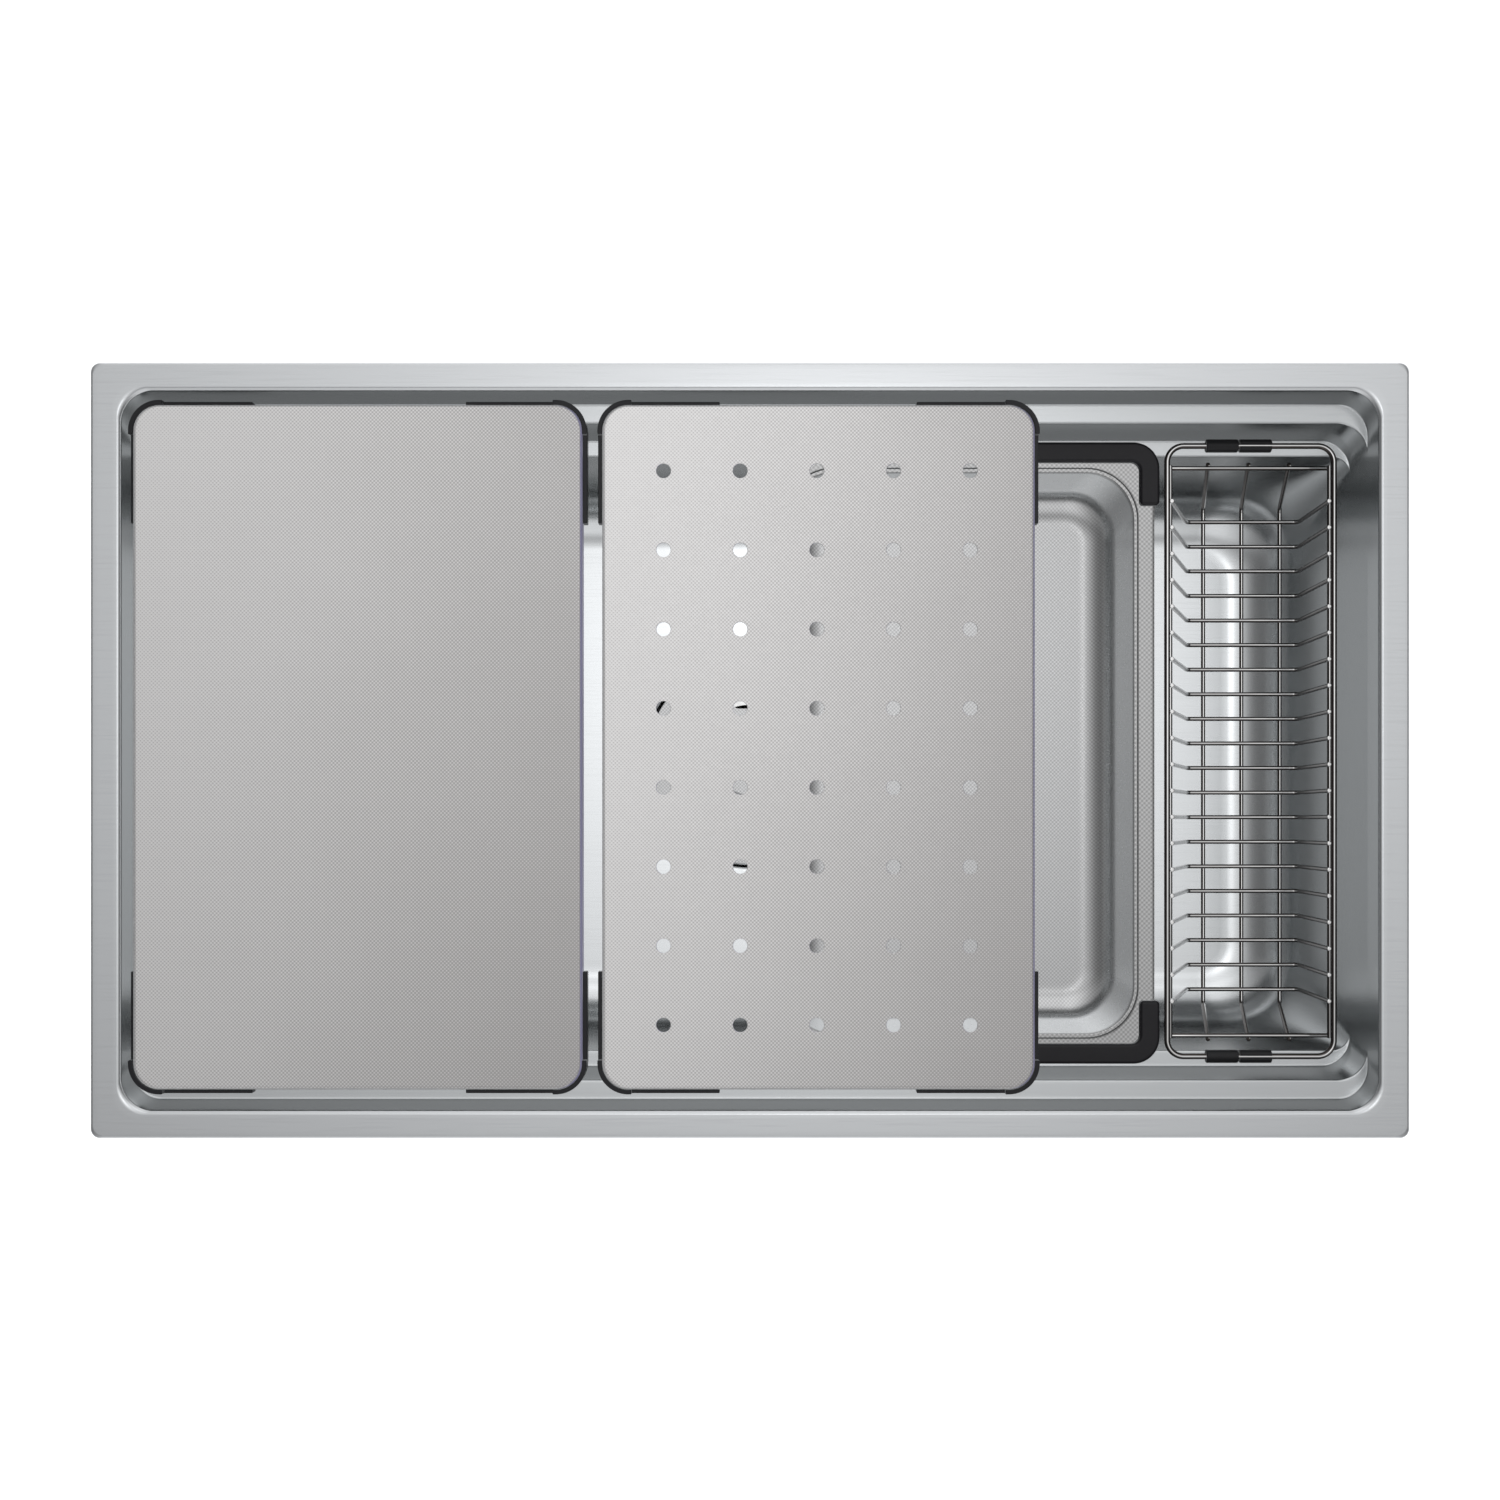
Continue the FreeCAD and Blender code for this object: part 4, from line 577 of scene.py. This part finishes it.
def diamonds(tree, place, pitch):
    """A pattern of small diamonds between -1 and 1, pitch metres apart along X and along Y."""
    axes = axes_of(tree, place)
    waves = [calculate(tree, "SINE", times(tree, axes[axis], 2 * math.pi / pitch)) for axis in "XY"]
    return times(tree, *waves)


def tint(tree, shader, share, colour, spread):
    """Lets the base colour vary by a share between a darker and a lighter shade of one colour."""
    dark = [c * (1 - spread) for c in colour]
    light = [min(c * (1 + spread), 1) for c in colour]
    tree.links.new(blended(tree, share, dark, light), shader.inputs["Base Color"])


def emboss(tree, shader, height, depth, strength):
    """Raises the surface by a pattern of heights, with its depth in metres."""
    inputs = {"Height": height, "Distance": depth, "Strength": strength}
    tree.links.new(add_node(tree, "ShaderNodeBump", inputs).outputs["Normal"], shader.inputs["Normal"])


def roughen(tree, shader, pattern, low, high):
    """Lets the roughness vary from low to high by a pattern between 0 and 1."""
    tree.links.new(ranged(tree, pattern, low, high), shader.inputs["Roughness"])


# Materials


def bowl_steel():
    """Satin pressed steel with fine brushed lines, painted light on its floor and painted shade on its ledges
    and drawn walls.
    """
    # rim is the steel's own colour; ledges, walls and long_walls are painted shade, and floor is painted
    # light
    rim, ledges, floor = (0.775, 0.79, 0.803), (0.655, 0.672, 0.68), (0.90, 0.92, 0.93)
    walls, long_walls = (0.5, 0.515, 0.52), (0.25, 0.258, 0.26)
    material, tree, shader, place = new_material("bowl_steel", rim, metallic=1.0, roughness=0.2)
    height = axes_of(tree, place)["Z"]
    # Painted shade below the rim and painted light on the deep floor, by height
    colour = blended(tree, passing(tree, height, *LEDGE_SHADE_HEIGHTS), rim, ledges)
    colour = blended(tree, passing(tree, height, *FLOOR_LIGHT_HEIGHTS), colour, floor)
    lines = noise(tree, stretched(tree, place, BRUSH_PER_METRE), per_metre=1)
    streaks = ranged(tree, lines, -BRUSH_REACH, BRUSH_REACH)
    # Painted shade on steep walls, darkest where they face the front or back; the brushed lines fray its
    # border
    on_wall = plus(tree, facing(tree, "Z", *WALL_SHADE_FACING), streaks)
    on_long_wall = plus(tree, facing(tree, "Y", *LONG_WALL_SHADE_FACING), streaks)
    colour = blended(tree, on_long_wall, blended(tree, on_wall, colour, walls), long_walls)
    tree.links.new(colour, shader.inputs["Base Color"])
    grain = times(tree, noise(tree, place, per_metre=1500), GRAIN_SHARE)
    emboss(tree, shader, plus(tree, grain, lines), depth=0.000004, strength=0.6)
    roughen(tree, shader, noise(tree, place, per_metre=700, detail=3), low=0.2, high=0.27)
    return material


def board_steel():
    """Warm grey steel embossed with small diamonds. A painted sheen falls off to the right and the front."""
    # light and dark are the ends of the painted sheen
    light, dark = (0.97, 0.955, 0.945), (0.5, 0.485, 0.478)
    # A pale painted highlight on the rounded edges, and a bluish painted reflection on edges that face right
    painted_edge_highlight, painted_edge_reflection = (0.92, 0.92, 0.92), (0.46, 0.44, 0.66)
    material, tree, shader, place = new_material("board_steel", light, metallic=1.0, roughness=0.3)
    # Painted sheen by place within each board: lightest at the back left, darker to the right and the front
    within = axes_of(tree, coordinate(tree, "Generated"))
    rightward = times(tree, within["X"], PAINTED_SHEEN_LOSS_RIGHT)
    forward = times(tree, rest_of(tree, within["Y"]), PAINTED_SHEEN_LOSS_FRONT)
    pattern = diamonds(tree, place, BOARD_DIAMOND)
    share = plus(tree, rightward, forward)
    share = plus(tree, share, times(tree, pattern, BOARD_CONTRAST))
    share = plus(tree, share, ranged(tree, noise(tree, place, per_metre=9), -CLOUD_REACH, CLOUD_REACH))
    # Painted highlight on the edges, bluish as a painted reflection where they face right, with little metal
    # so it shows
    at_edge = facing(tree, "Z", *BOARD_EDGE_HIGHLIGHT)
    edge = blended(tree, facing(tree, "X", *RIGHT_EDGE_REFLECTION, one_way=True), painted_edge_highlight, painted_edge_reflection)
    colour = blended(tree, at_edge, blended(tree, share, light, dark), edge)
    tree.links.new(colour, shader.inputs["Base Color"])
    tree.links.new(ranged(tree, at_edge, 1.0, EDGE_METAL), shader.inputs["Metallic"])
    emboss(tree, shader, pattern, depth=0.00003, strength=0.6)
    roughen(tree, shader, noise(tree, place, per_metre=500), low=0.38, high=0.44)
    return material


def textured_steel():
    """Steel with a raised grain of diamonds: coarse on the tray's flange, fine as linen in its hollow, whose
    walls get painted light.
    """
    # wall is lighter than hollow as painted light on the hollow's walls and round foot
    flange, hollow, wall = (0.50, 0.498, 0.495), (0.56, 0.56, 0.56), (0.78, 0.78, 0.78)
    material, tree, shader, place = new_material("textured_steel", hollow, metallic=1.0, roughness=0.3)
    on_flange = passing(tree, axes_of(tree, place)["Z"], *FLANGE_HEIGHTS)
    coarse = times(tree, diamonds(tree, place, FLANGE_DIAMOND), on_flange)
    linen = times(tree, diamonds(tree, place, LINEN_DIAMOND), rest_of(tree, on_flange))
    pattern = times(tree, plus(tree, coarse, linen), facing(tree, "Z", *TRAY_PATTERN))
    # Painted light on the hollow's walls and round foot
    inside = blended(tree, facing(tree, "Z", *TRAY_WALL_LIGHT), hollow, wall)
    colour = blended(tree, on_flange, inside, flange)
    shade = ranged(tree, passing(tree, pattern, -1.0, 1.0), *TRAY_SHADES)
    shaded = add_node(tree, "ShaderNodeVectorMath", {0: colour, "Scale": shade}, operation="SCALE")
    tree.links.new(shaded.outputs["Vector"], shader.inputs["Base Color"])
    emboss(tree, shader, pattern, depth=0.00002, strength=0.6)
    roughen(tree, shader, noise(tree, place, per_metre=600), low=0.24, high=0.34)
    return material


def waste_steel():
    """Bright turned steel with fine rings."""
    colour = (0.72, 0.72, 0.71)
    material, tree, shader, place = new_material("waste_steel", colour, metallic=1.0, roughness=0.2)
    axes = axes_of(tree, place)
    squares = [times(tree, axes[axis], axes[axis]) for axis in "XY"]
    radius = calculate(tree, "SQRT", plus(tree, *squares))
    rings = calculate(tree, "SINE", times(tree, radius, RING_TURNS))
    tint(tree, shader, noise(tree, place, per_metre=40), colour, spread=0.05)
    emboss(tree, shader, rings, depth=0.00001, strength=0.3)
    roughen(tree, shader, noise(tree, place, per_metre=250), low=0.16, high=0.28)
    return material


def zinc_steel():
    """Zinc-plated steel with a faint mottle."""
    colour = (0.62, 0.65, 0.68)
    material, tree, shader, place = new_material("zinc_steel", colour, metallic=1.0, roughness=0.38)
    inputs = {"Vector": place, "Scale": ZINC_PER_METRE}
    cells = add_node(tree, "ShaderNodeTexVoronoi", inputs).outputs["Distance"]
    tint(tree, shader, cells, colour, spread=0.12)
    emboss(tree, shader, noise(tree, place, per_metre=900), depth=0.00003, strength=0.4)
    roughen(tree, shader, cells, low=0.3, high=0.5)
    return material


def chromed_wire():
    """Chromed wire with a painted highlight along its crown and painted shade at its flanks, and slight waves
    left from bending.
    """
    # crown is a painted highlight and flank_shade a painted shade
    crown, flank_shade = (0.95, 0.94, 0.93), (0.085, 0.075, 0.07)
    material, tree, shader, place = new_material("chromed_wire", crown, metallic=1.0, roughness=0.08)
    waves = noise(tree, place, per_metre=120)
    upward = add_node(tree, "ShaderNodeAttribute", {}, attribute_name=CROWN).outputs["Fac"]
    cloud = ranged(tree, waves, -CLOUD_REACH, CLOUD_REACH)
    # Painted highlight where the wire faces up, painted shade where it faces sideways or down
    share = plus(tree, passing(tree, upward, *CROWN_HIGHLIGHT), cloud)
    tree.links.new(blended(tree, share, flank_shade, crown), shader.inputs["Base Color"])
    emboss(tree, shader, waves, depth=0.00003, strength=0.4)
    roughen(tree, shader, noise(tree, place, per_metre=500), low=0.04, high=0.1)
    return material


def soft_plastic(name, colour, roughness, per_metre, depth, spread=0.15):
    """Moulded plastic or rubber with a fine grain."""
    material, tree, shader, place = new_material(name, colour, metallic=0.0, roughness=roughness)
    shader.inputs["Specular IOR Level"].default_value = PLASTIC_GLOSS
    tint(tree, shader, noise(tree, place, per_metre=60, detail=3), colour, spread)
    emboss(tree, shader, noise(tree, place, per_metre, detail=3), depth, strength=0.6)
    low = roughness * (1 - PLASTIC_ROUGHNESS_SPREAD)
    high = min(roughness * (1 + PLASTIC_ROUGHNESS_SPREAD), 1)
    roughen(tree, shader, noise(tree, place, per_metre / 3), low, high)
    return material


def fibre():
    """Pressed fibre with specks."""
    colour = (0.42, 0.33, 0.24)
    material, tree, shader, place = new_material("fibre", colour, metallic=0.0, roughness=0.85)
    specks = noise(tree, place, per_metre=1400, detail=4, roughness=0.7)
    tint(tree, shader, specks, colour, spread=0.35)
    emboss(tree, shader, specks, depth=0.00008, strength=0.6)
    return material


# Plastics and rubbers: colour, roughness, grains per metre, depth of the grain in metres, and for some the
# spread of the colour
PLASTICS = {
    "black_rubber": ((0.018, 0.018, 0.02), 0.42, 700, 0.00004),
    "damping_rubber": ((0.10, 0.10, 0.105), 0.8, 350, 0.0002),
    "foam": ((0.22, 0.22, 0.23), 0.95, 1200, 0.0002, 0.25),
    "white_plastic": ((0.74, 0.74, 0.72), 0.45, 600, 0.00003, 0.03),
    "handle_plastic": ((0.013, 0.012, 0.015), 0.36, 900, 0.00003),
    "guard_plastic": ((0.014, 0.014, 0.017), 0.35, 900, 0.00002),
}

materials = {
    "bowl_steel": bowl_steel(),
    "board_steel": board_steel(),
    "textured_steel": textured_steel(),
    "waste_steel": waste_steel(),
    "zinc_steel": zinc_steel(),
    "chromed_wire": chromed_wire(),
    "fibre": fibre(),
    **{name: soft_plastic(name, *values) for name, values in PLASTICS.items()},
}


def dress_nodes():
    """Gives each CAD node the finish of its record slot."""
    for item in frame["record"]["subparts"]:
        node = frame["nodes"][item["node"]]
        node.data.materials.clear()
        node.data.materials.append(materials[item["material_slot"]])


# Bowl


def wall_x(height):
    """Half length of the bowl inside at one height."""
    below = (LEDGE_HEIGHTS[0] - height) / (LEDGE_HEIGHTS[0] - FLOOR_HEIGHT)
    return lerp(OPENING_X, FLOOR_X, max(below, 0))


def bowl_stations():
    """Outlines of the bowl from the rim's lower edge to the flat middle of the floor, with their bends."""
    rim_x, rim_y = RIM_HALF_LENGTH, RIM_HALF_WIDTH
    upper, lower = LEDGE_HEIGHTS
    upper_brink, lower_brink = upper - LEDGE_FALL, lower - LEDGE_FALL
    inset = FLOOR_CORNER - SMALLEST_CORNER
    return [
        ((rim_x, rim_y, RIM_CORNER, 0), 0),
        ((rim_x, rim_y, RIM_CORNER, RIM_TOP), RIM_EDGE),
        ((OPENING_X, OPENING_Y, OPENING_CORNER, RIM_TOP), OPENING_EDGE),
        ((OPENING_X, UPPER_FOOT_Y, OPENING_CORNER, upper), LEDGE_ROOT),
        ((wall_x(upper_brink), MIDDLE_TOP_Y, OPENING_CORNER, upper_brink), LEDGE_EDGE),
        ((wall_x(lower), MIDDLE_FOOT_Y, OPENING_CORNER, lower), LEDGE_ROOT),
        ((wall_x(lower_brink), LOWER_TOP_Y, LOWER_CORNER, lower_brink), LEDGE_EDGE),
        ((FLOOR_X, FLOOR_Y, FLOOR_CORNER, FLOOR_HEIGHT), FLOOR_ROUND),
        ((FLOOR_X - inset, FLOOR_Y - inset, FLOOR_CORNER - inset, FLOOR_HEIGHT), 0),
    ]


def well_loops(pattern):
    """Loops from the flat middle of the floor into the round well and on to the outlet's edge."""
    brink = circle_loop(pattern, WELL_RADIUS + WELL_EDGE, FLOOR_HEIGHT)
    well_floor = FLOOR_HEIGHT - WELL_DEPTH
    loops = []
    for i in range(1, STRAIGHT_STEPS + 1):
        loops.append([a.lerp(b, i / STRAIGHT_STEPS) for a, b in zip(pattern, brink)])
    for i in range(1, ROUND_STEPS + 1):
        turn = math.pi / 2 * i / ROUND_STEPS
        radius = WELL_RADIUS + WELL_EDGE * (1 - math.sin(turn))
        loops.append(circle_loop(pattern, radius, FLOOR_HEIGHT - WELL_EDGE * (1 - math.cos(turn))))
    for share in (0.5, 1):
        height = lerp(FLOOR_HEIGHT - WELL_EDGE, well_floor + SHEET, share)
        loops.append(circle_loop(pattern, WELL_RADIUS, height))
    for radius in (WELL_RADIUS - SHEET, (WELL_RADIUS + OUTLET_RADIUS) / 2, OUTLET_RADIUS):
        loops.append(circle_loop(pattern, radius, well_floor))
    return loops


def make_bowl():
    """The pressed bowl: rim, two ledges along the front and back, floor, well and outlet."""
    loops = [rectangle_loop(*outline) for outline in press_path(bowl_stations())]
    points, faces = skin(loops + well_loops(loops[-1]))
    piece = make_piece("pressed_bowl", points, faces, materials["bowl_steel"], "sink")
    finish_sheet(piece, SHEET)
    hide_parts("sink_bowl")


# Tray


def make_tray():
    """The deep tray: a textured flange, a raised bead and a hollow with a round foot."""
    low, high = node_box("tray_pan")
    centre = (low + high) / 2
    half_x, half_y = (high.x - low.x) / 2, (high.y - low.y) / 2
    bead_top = high.z
    top = bead_top - TRAY_BEAD_HEIGHT
    floor = top - TRAY_DEPTH
    corner, wide, draft = TRAY_HOLLOW_CORNER, TRAY_BEAD_WIDTH, TRAY_DRAFT
    slope = TRAY_BEAD_HEIGHT / 2
    inset = corner - SMALLEST_CORNER

    def hollow(wider, corner_radius, z):
        """An outline of the hollow, wider all round than its mouth."""
        return half_x - TRAY_BORDER + wider, half_y - TRAY_BORDER + wider, corner_radius, z

    stations = [
        ((half_x, half_y, TRAY_CORNER, top), 0),
        (hollow(wide, corner + wide, top), slope),
        (hollow(wide - slope, corner + wide - slope, bead_top), slope / 2),
        (hollow(0, corner, bead_top), slope),
        (hollow(-draft, corner, floor), TRAY_FLOOR_ROUND),
        (hollow(-draft - inset, corner - inset, floor), 0),
    ]
    loops = [rectangle_loop(*outline, centre=(centre.x, centre.y)) for outline in press_path(stations)]
    points, faces = skin(loops, end_cap=True)
    piece = make_piece("deep_tray", points, faces, materials["textured_steel"], "tray")
    finish_sheet(piece, TRAY_SHEET)
    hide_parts("tray_pan")
    return piece


# Wire basket


class BasketPlaces:
    """Places that the basket's wires share, in millimetres, worked out from its rim in the CAD frame."""

    def __init__(self):
        low, high = node_box("basket_rim")
        left, right = low.x + RIM_WIRE / 2, high.x - RIM_WIRE / 2
        self.middle = (left + right) / 2, (low.y + high.y) / 2
        self.half_length, self.half_width = (right - left) / 2, (high.y - low.y) / 2 - RIM_WIRE / 2
        self.rim_height = (low.z + high.z) / 2
        self.top = self.rim_height + RIB_RISE
        self.bottom = self.top - BASKET_HEIGHT
        self.rail = self.rim_height - RAIL_DROP
        reach = (RIM_WIRE + RIB_WIRE) / 2 - WELD
        self.rib_left, self.rib_right = left + reach, right - reach

    def rib_sides(self, height):
        """Where the left and the right side of a rib stand at one height."""
        share = (self.top - height) / BASKET_HEIGHT
        return self.rib_left + LEFT_SLOPE * share, self.rib_right + RIGHT_FLARE * share

    def rib_middle(self, height):
        """The middle between a rib's sides at one height."""
        return sum(self.rib_sides(height)) / 2


def wire_piece(name, parts, replaced):
    """A piece of the basket, made of one chromed wire or several."""
    points, faces = joined(parts)
    piece = make_piece(name, points, faces, materials["chromed_wire"], "wire_basket")
    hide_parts(replaced)
    return piece


def make_rim_wire(places):
    """The closed wire round the basket's top."""
    half_x, half_y = places.half_length, places.half_width
    outline = rectangle_loop(half_x, half_y, BASKET_CORNER, places.rim_height, places.middle)
    return wire_piece("rim_wire", [tube(outline, RIM_WIRE / 2, closed=True)], "basket_rim")


def make_ribs(places):
    """The bent ribs, whose last stretches stand upright so that their ends are cut level."""
    left, right = places.rib_sides(places.bottom)
    ribs = []
    for i in range(RIB_COUNT):
        y = places.middle[1] + RIB_PITCH * (i - (RIB_COUNT - 1) / 2)
        corners = [
            (places.rib_right, y, places.top),
            (right, y, places.bottom),
            (left, y, places.bottom),
            (places.rib_left, y, places.top),
        ]
        path = bent_path(corners, RIB_BEND)
        path = [path[0], path[0] - RIB_CUT] + path[1:-1] + [path[-1] - RIB_CUT, path[-1]]
        ribs.append(tube(path, RIB_RADIUS))
    return wire_piece("bent_ribs", ribs, "basket_ribs")


def make_side_rails(places):
    """A straight wire along the outside of the ribs' left and right sides."""
    low, high = node_box("basket_side_rails")
    left, right = places.rib_sides(places.rail)
    rails = []
    for x in (left - CROSSING, right + CROSSING):
        line = straight_line((x, low.y, places.rail), (x, high.y, places.rail))
        rails.append(tube(line, RIB_RADIUS))
    return wire_piece("side_rail_wires", rails, "basket_side_rails")


def make_end_wires(places):
    """A straight wire under the rails at the basket's front and back."""
    low, high = node_box("basket_end_wires")
    height = places.rail - CROSSING
    ends = []
    for y in (low.y + RIB_RADIUS, high.y - RIB_RADIUS):
        ends.append(tube(straight_line((low.x, y, height), (high.x, y, height)), RIB_RADIUS))
    return wire_piece("end_cross_wires", ends, "basket_end_wires")


def make_long_wires(places):
    """Wires under the ribs, which rise to the end wires and lean as the ribs do."""
    low, high = node_box("basket_end_wires")
    half_end = (high.y - low.y) / 2 - RIB_RADIUS
    end_y = half_end + CROSSING
    foot_y = half_end - LONG_SLOPE + RIB_PITCH / 2
    under, over = places.bottom - CROSSING, places.rail - CROSSING
    lean = places.rib_middle(places.bottom) - places.rib_middle(places.rail)
    middle_y = places.middle[1]
    longs = []
    for i in range(LONG_COUNT):
        x = places.rib_middle(places.bottom) + LONG_PITCH * (i - (LONG_COUNT - 1) / 2)
        corners = [
            (x - lean, middle_y - end_y, over),
            (x, middle_y - foot_y, under),
            (x, middle_y + foot_y, under),
            (x - lean, middle_y + end_y, over),
        ]
        longs.append(tube(bent_path(corners, LONG_BEND), RIB_RADIUS))
    return wire_piece("long_wires", longs, "basket_long_wires")


def make_basket():
    """The wire basket: rim wire, bent ribs, side rails, end wires and long wires."""
    places = BasketPlaces()
    makers = (make_rim_wire, make_ribs, make_side_rails, make_end_wires, make_long_wires)
    return [maker(places) for maker in makers]


# Sleeves


def split_sleeve(start, y, height, slit_angle):
    """Points and faces of a split sleeve along X, open at slit_angle from the horizontal."""
    first, last = slit_angle + SLEEVE_SLIT / 2, slit_angle + 2 * math.pi - SLEEVE_SLIT / 2
    angles = [lerp(first, last, i / SLEEVE_SIDES) for i in range(SLEEVE_SIDES + 1)]
    inner = RIM_WIRE / 2 + SLEEVE_ROOM
    soft, softer = SLEEVE_SOFT_EDGE, SLEEVE_SOFT_EDGE * SLEEVE_SOFTER_SHARE
    rounding = [(0, soft), (softer, softer), (soft, 0)]
    places = rounding + [(SLEEVE_LENGTH - along, cut) for along, cut in reversed(rounding)]
    loops = []
    for along, cut in places:
        ring = [(SLEEVE_RADIUS - cut, a) for a in angles] + [(inner, a) for a in reversed(angles)]
        x = start + along
        loops.append([Vector((x, y + r * math.cos(a), height + r * math.sin(a))) for r, a in ring])
    points, faces = skin(loops)
    count = len(loops[0])
    for base in (0, len(points) - count):
        for i in range(count // 2 - 1):
            quad = (base + i, base + i + 1, base + count - 2 - i, base + count - 1 - i)
            faces.append(quad if base else tuple(reversed(quad)))
    return points, faces


def make_sleeves():
    """Two split rubber sleeves round each end of the basket's rim wire."""
    low, high = node_box("basket_sleeves")
    height = (low.z + high.z) / 2
    parts = []
    for y in (low.y + SLEEVE_RADIUS, high.y - SLEEVE_RADIUS):
        parts.append(split_sleeve(low.x, y, height, SLIT_BELOW))
        parts.append(split_sleeve(high.x - SLEEVE_LENGTH, y, height, SLIT_ABOVE))
    points, faces = joined(parts)
    rubber = materials["black_rubber"]
    piece = make_piece("split_sleeves", points, faces, rubber, "wire_basket")
    shade_evenly(piece, keep_sharp=False)
    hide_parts("basket_sleeves")
    return piece


# Room


def make_floor():
    """A plain pale floor that shows white to the camera and keeps the sink's shadow."""
    height = cad_bounds[0][2]
    corners = [(-1, -1), (1, -1), (1, 1), (-1, 1)]
    mesh = bpy.data.meshes.new("floor")
    mesh.from_pydata([(x * FLOOR_REACH, y * FLOOR_REACH, height) for x, y in corners], [], [(0, 1, 2, 3)])
    material, tree, shader, _ = new_material("floor", FLOOR_COLOUR, metallic=0.0, roughness=0.9)
    rays = tree.nodes.new("ShaderNodeLightPath").outputs
    seen = calculate(tree, "MAXIMUM", rays["Is Camera Ray"], rays["Is Glossy Ray"])
    seen = calculate(tree, "MAXIMUM", seen, rays["Is Transmission Ray"])
    tree.links.new(times(tree, seen, FLOOR_GLOW), shader.inputs["Emission Strength"])
    shader.inputs["Emission Color"].default_value = (1, 1, 1, 1)
    mesh.materials.append(material)
    floor = bpy.data.objects.new("floor", mesh)
    bpy.context.scene.collection.objects.link(floor)


def falloff(tree, value, centre, width):
    """The exponent of a soft light's level, which falls away on both sides of its centre."""
    away = calculate(tree, "DIVIDE", calculate(tree, "SUBTRACT", value, centre), width)
    return times(tree, times(tree, away, away), -0.5)


def overhead_light(tree, slopes, light):
    """The level of a soft light overhead, for rays of all slopes."""
    falls = [falloff(tree, *values) for values in zip(slopes, light["centre"], light["width"])]
    return times(tree, calculate(tree, "EXPONENT", plus(tree, *falls)), light["level"])


def wall_light(tree, axes):
    """Pale walls round the floor, which dim towards the left and the right."""
    low = passing(tree, axes["Z"], *WALL_HEIGHTS, curve="SMOOTHSTEP")
    rightward = calculate(tree, "MAXIMUM", axes["X"], 0.0)
    leftward = calculate(tree, "SUBTRACT", rightward, axes["X"])
    loss = plus(tree, times(tree, rightward, RIGHT_WALL_LOSS), times(tree, leftward, LEFT_WALL_LOSS))
    return times(tree, times(tree, low, rest_of(tree, loss)), WALL_LEVEL)


def end_lights(tree, axes, slope_y):
    """Soft light from the front and the back, near the middle of the sink's length."""
    forward = times(tree, slope_y, -1.0)
    front = times(tree, passing(tree, forward, *END_SLOPES, curve="SMOOTHSTEP"), FRONT_LEVEL)
    back = times(tree, passing(tree, slope_y, *END_SLOPES, curve="SMOOTHSTEP"), BACK_LEVEL)
    middle = calculate(tree, "EXPONENT", falloff(tree, axes["X"], 0.0, END_WIDTH))
    return times(tree, plus(tree, front, back), middle)


def make_world():
    """A dim room with soft light overhead, in front and behind, and with pale walls."""
    world = bpy.data.worlds.new("room")
    world.use_nodes = True
    bpy.context.scene.world = world
    tree = world.node_tree
    tree.nodes.clear()
    axes = axes_of(tree, coordinate(tree, "Generated"))
    rise = calculate(tree, "MAXIMUM", axes["Z"], LOWEST_RISE)
    slopes = [calculate(tree, "DIVIDE", axes[axis], rise) for axis in "XY"]
    overhead = plus(tree, *(overhead_light(tree, slopes, light) for light in (WIDE_LIGHT, SMALL_LIGHT)))
    around = calculate(tree, "MAXIMUM", wall_light(tree, axes), end_lights(tree, axes, slopes[1]))
    level = plus(tree, plus(tree, overhead, around), ROOM_LEVEL)
    light = add_node(tree, "ShaderNodeBackground", {"Color": (*LIGHT_COLOUR, 1), "Strength": level})
    output = tree.nodes.new("ShaderNodeOutputWorld")
    tree.links.new(light.outputs["Background"], output.inputs["Surface"])


def make_camera():
    """The camera of the photograph."""
    data = bpy.data.cameras.new("camera")
    data.lens = CAMERA_LENS
    data.shift_y = CAMERA_SHIFT
    data.clip_start = CAMERA_NEAR
    camera = bpy.data.objects.new("camera", data)
    camera.location = CAMERA_PLACE
    bpy.context.scene.collection.objects.link(camera)
    bpy.context.scene.camera = camera


def let_light_past(pieces):
    """These pieces don't darken what lies under them or behind them, as in the photograph."""
    for piece in pieces:
        piece.visible_shadow = False
        piece.visible_glossy = False
        piece.visible_diffuse = False


dress_nodes()
make_bowl()
pan = make_tray()
wires = make_basket()
sleeves = make_sleeves()
softened = [node for name, node in frame["nodes"].items() if "_board_" in name or "handle" in name]
for node in softened:
    soften(node)
let_light_past(softened + wires + [sleeves, pan])
make_floor()
make_world()
make_camera()
bpy.context.scene.view_settings.view_transform = "Standard"
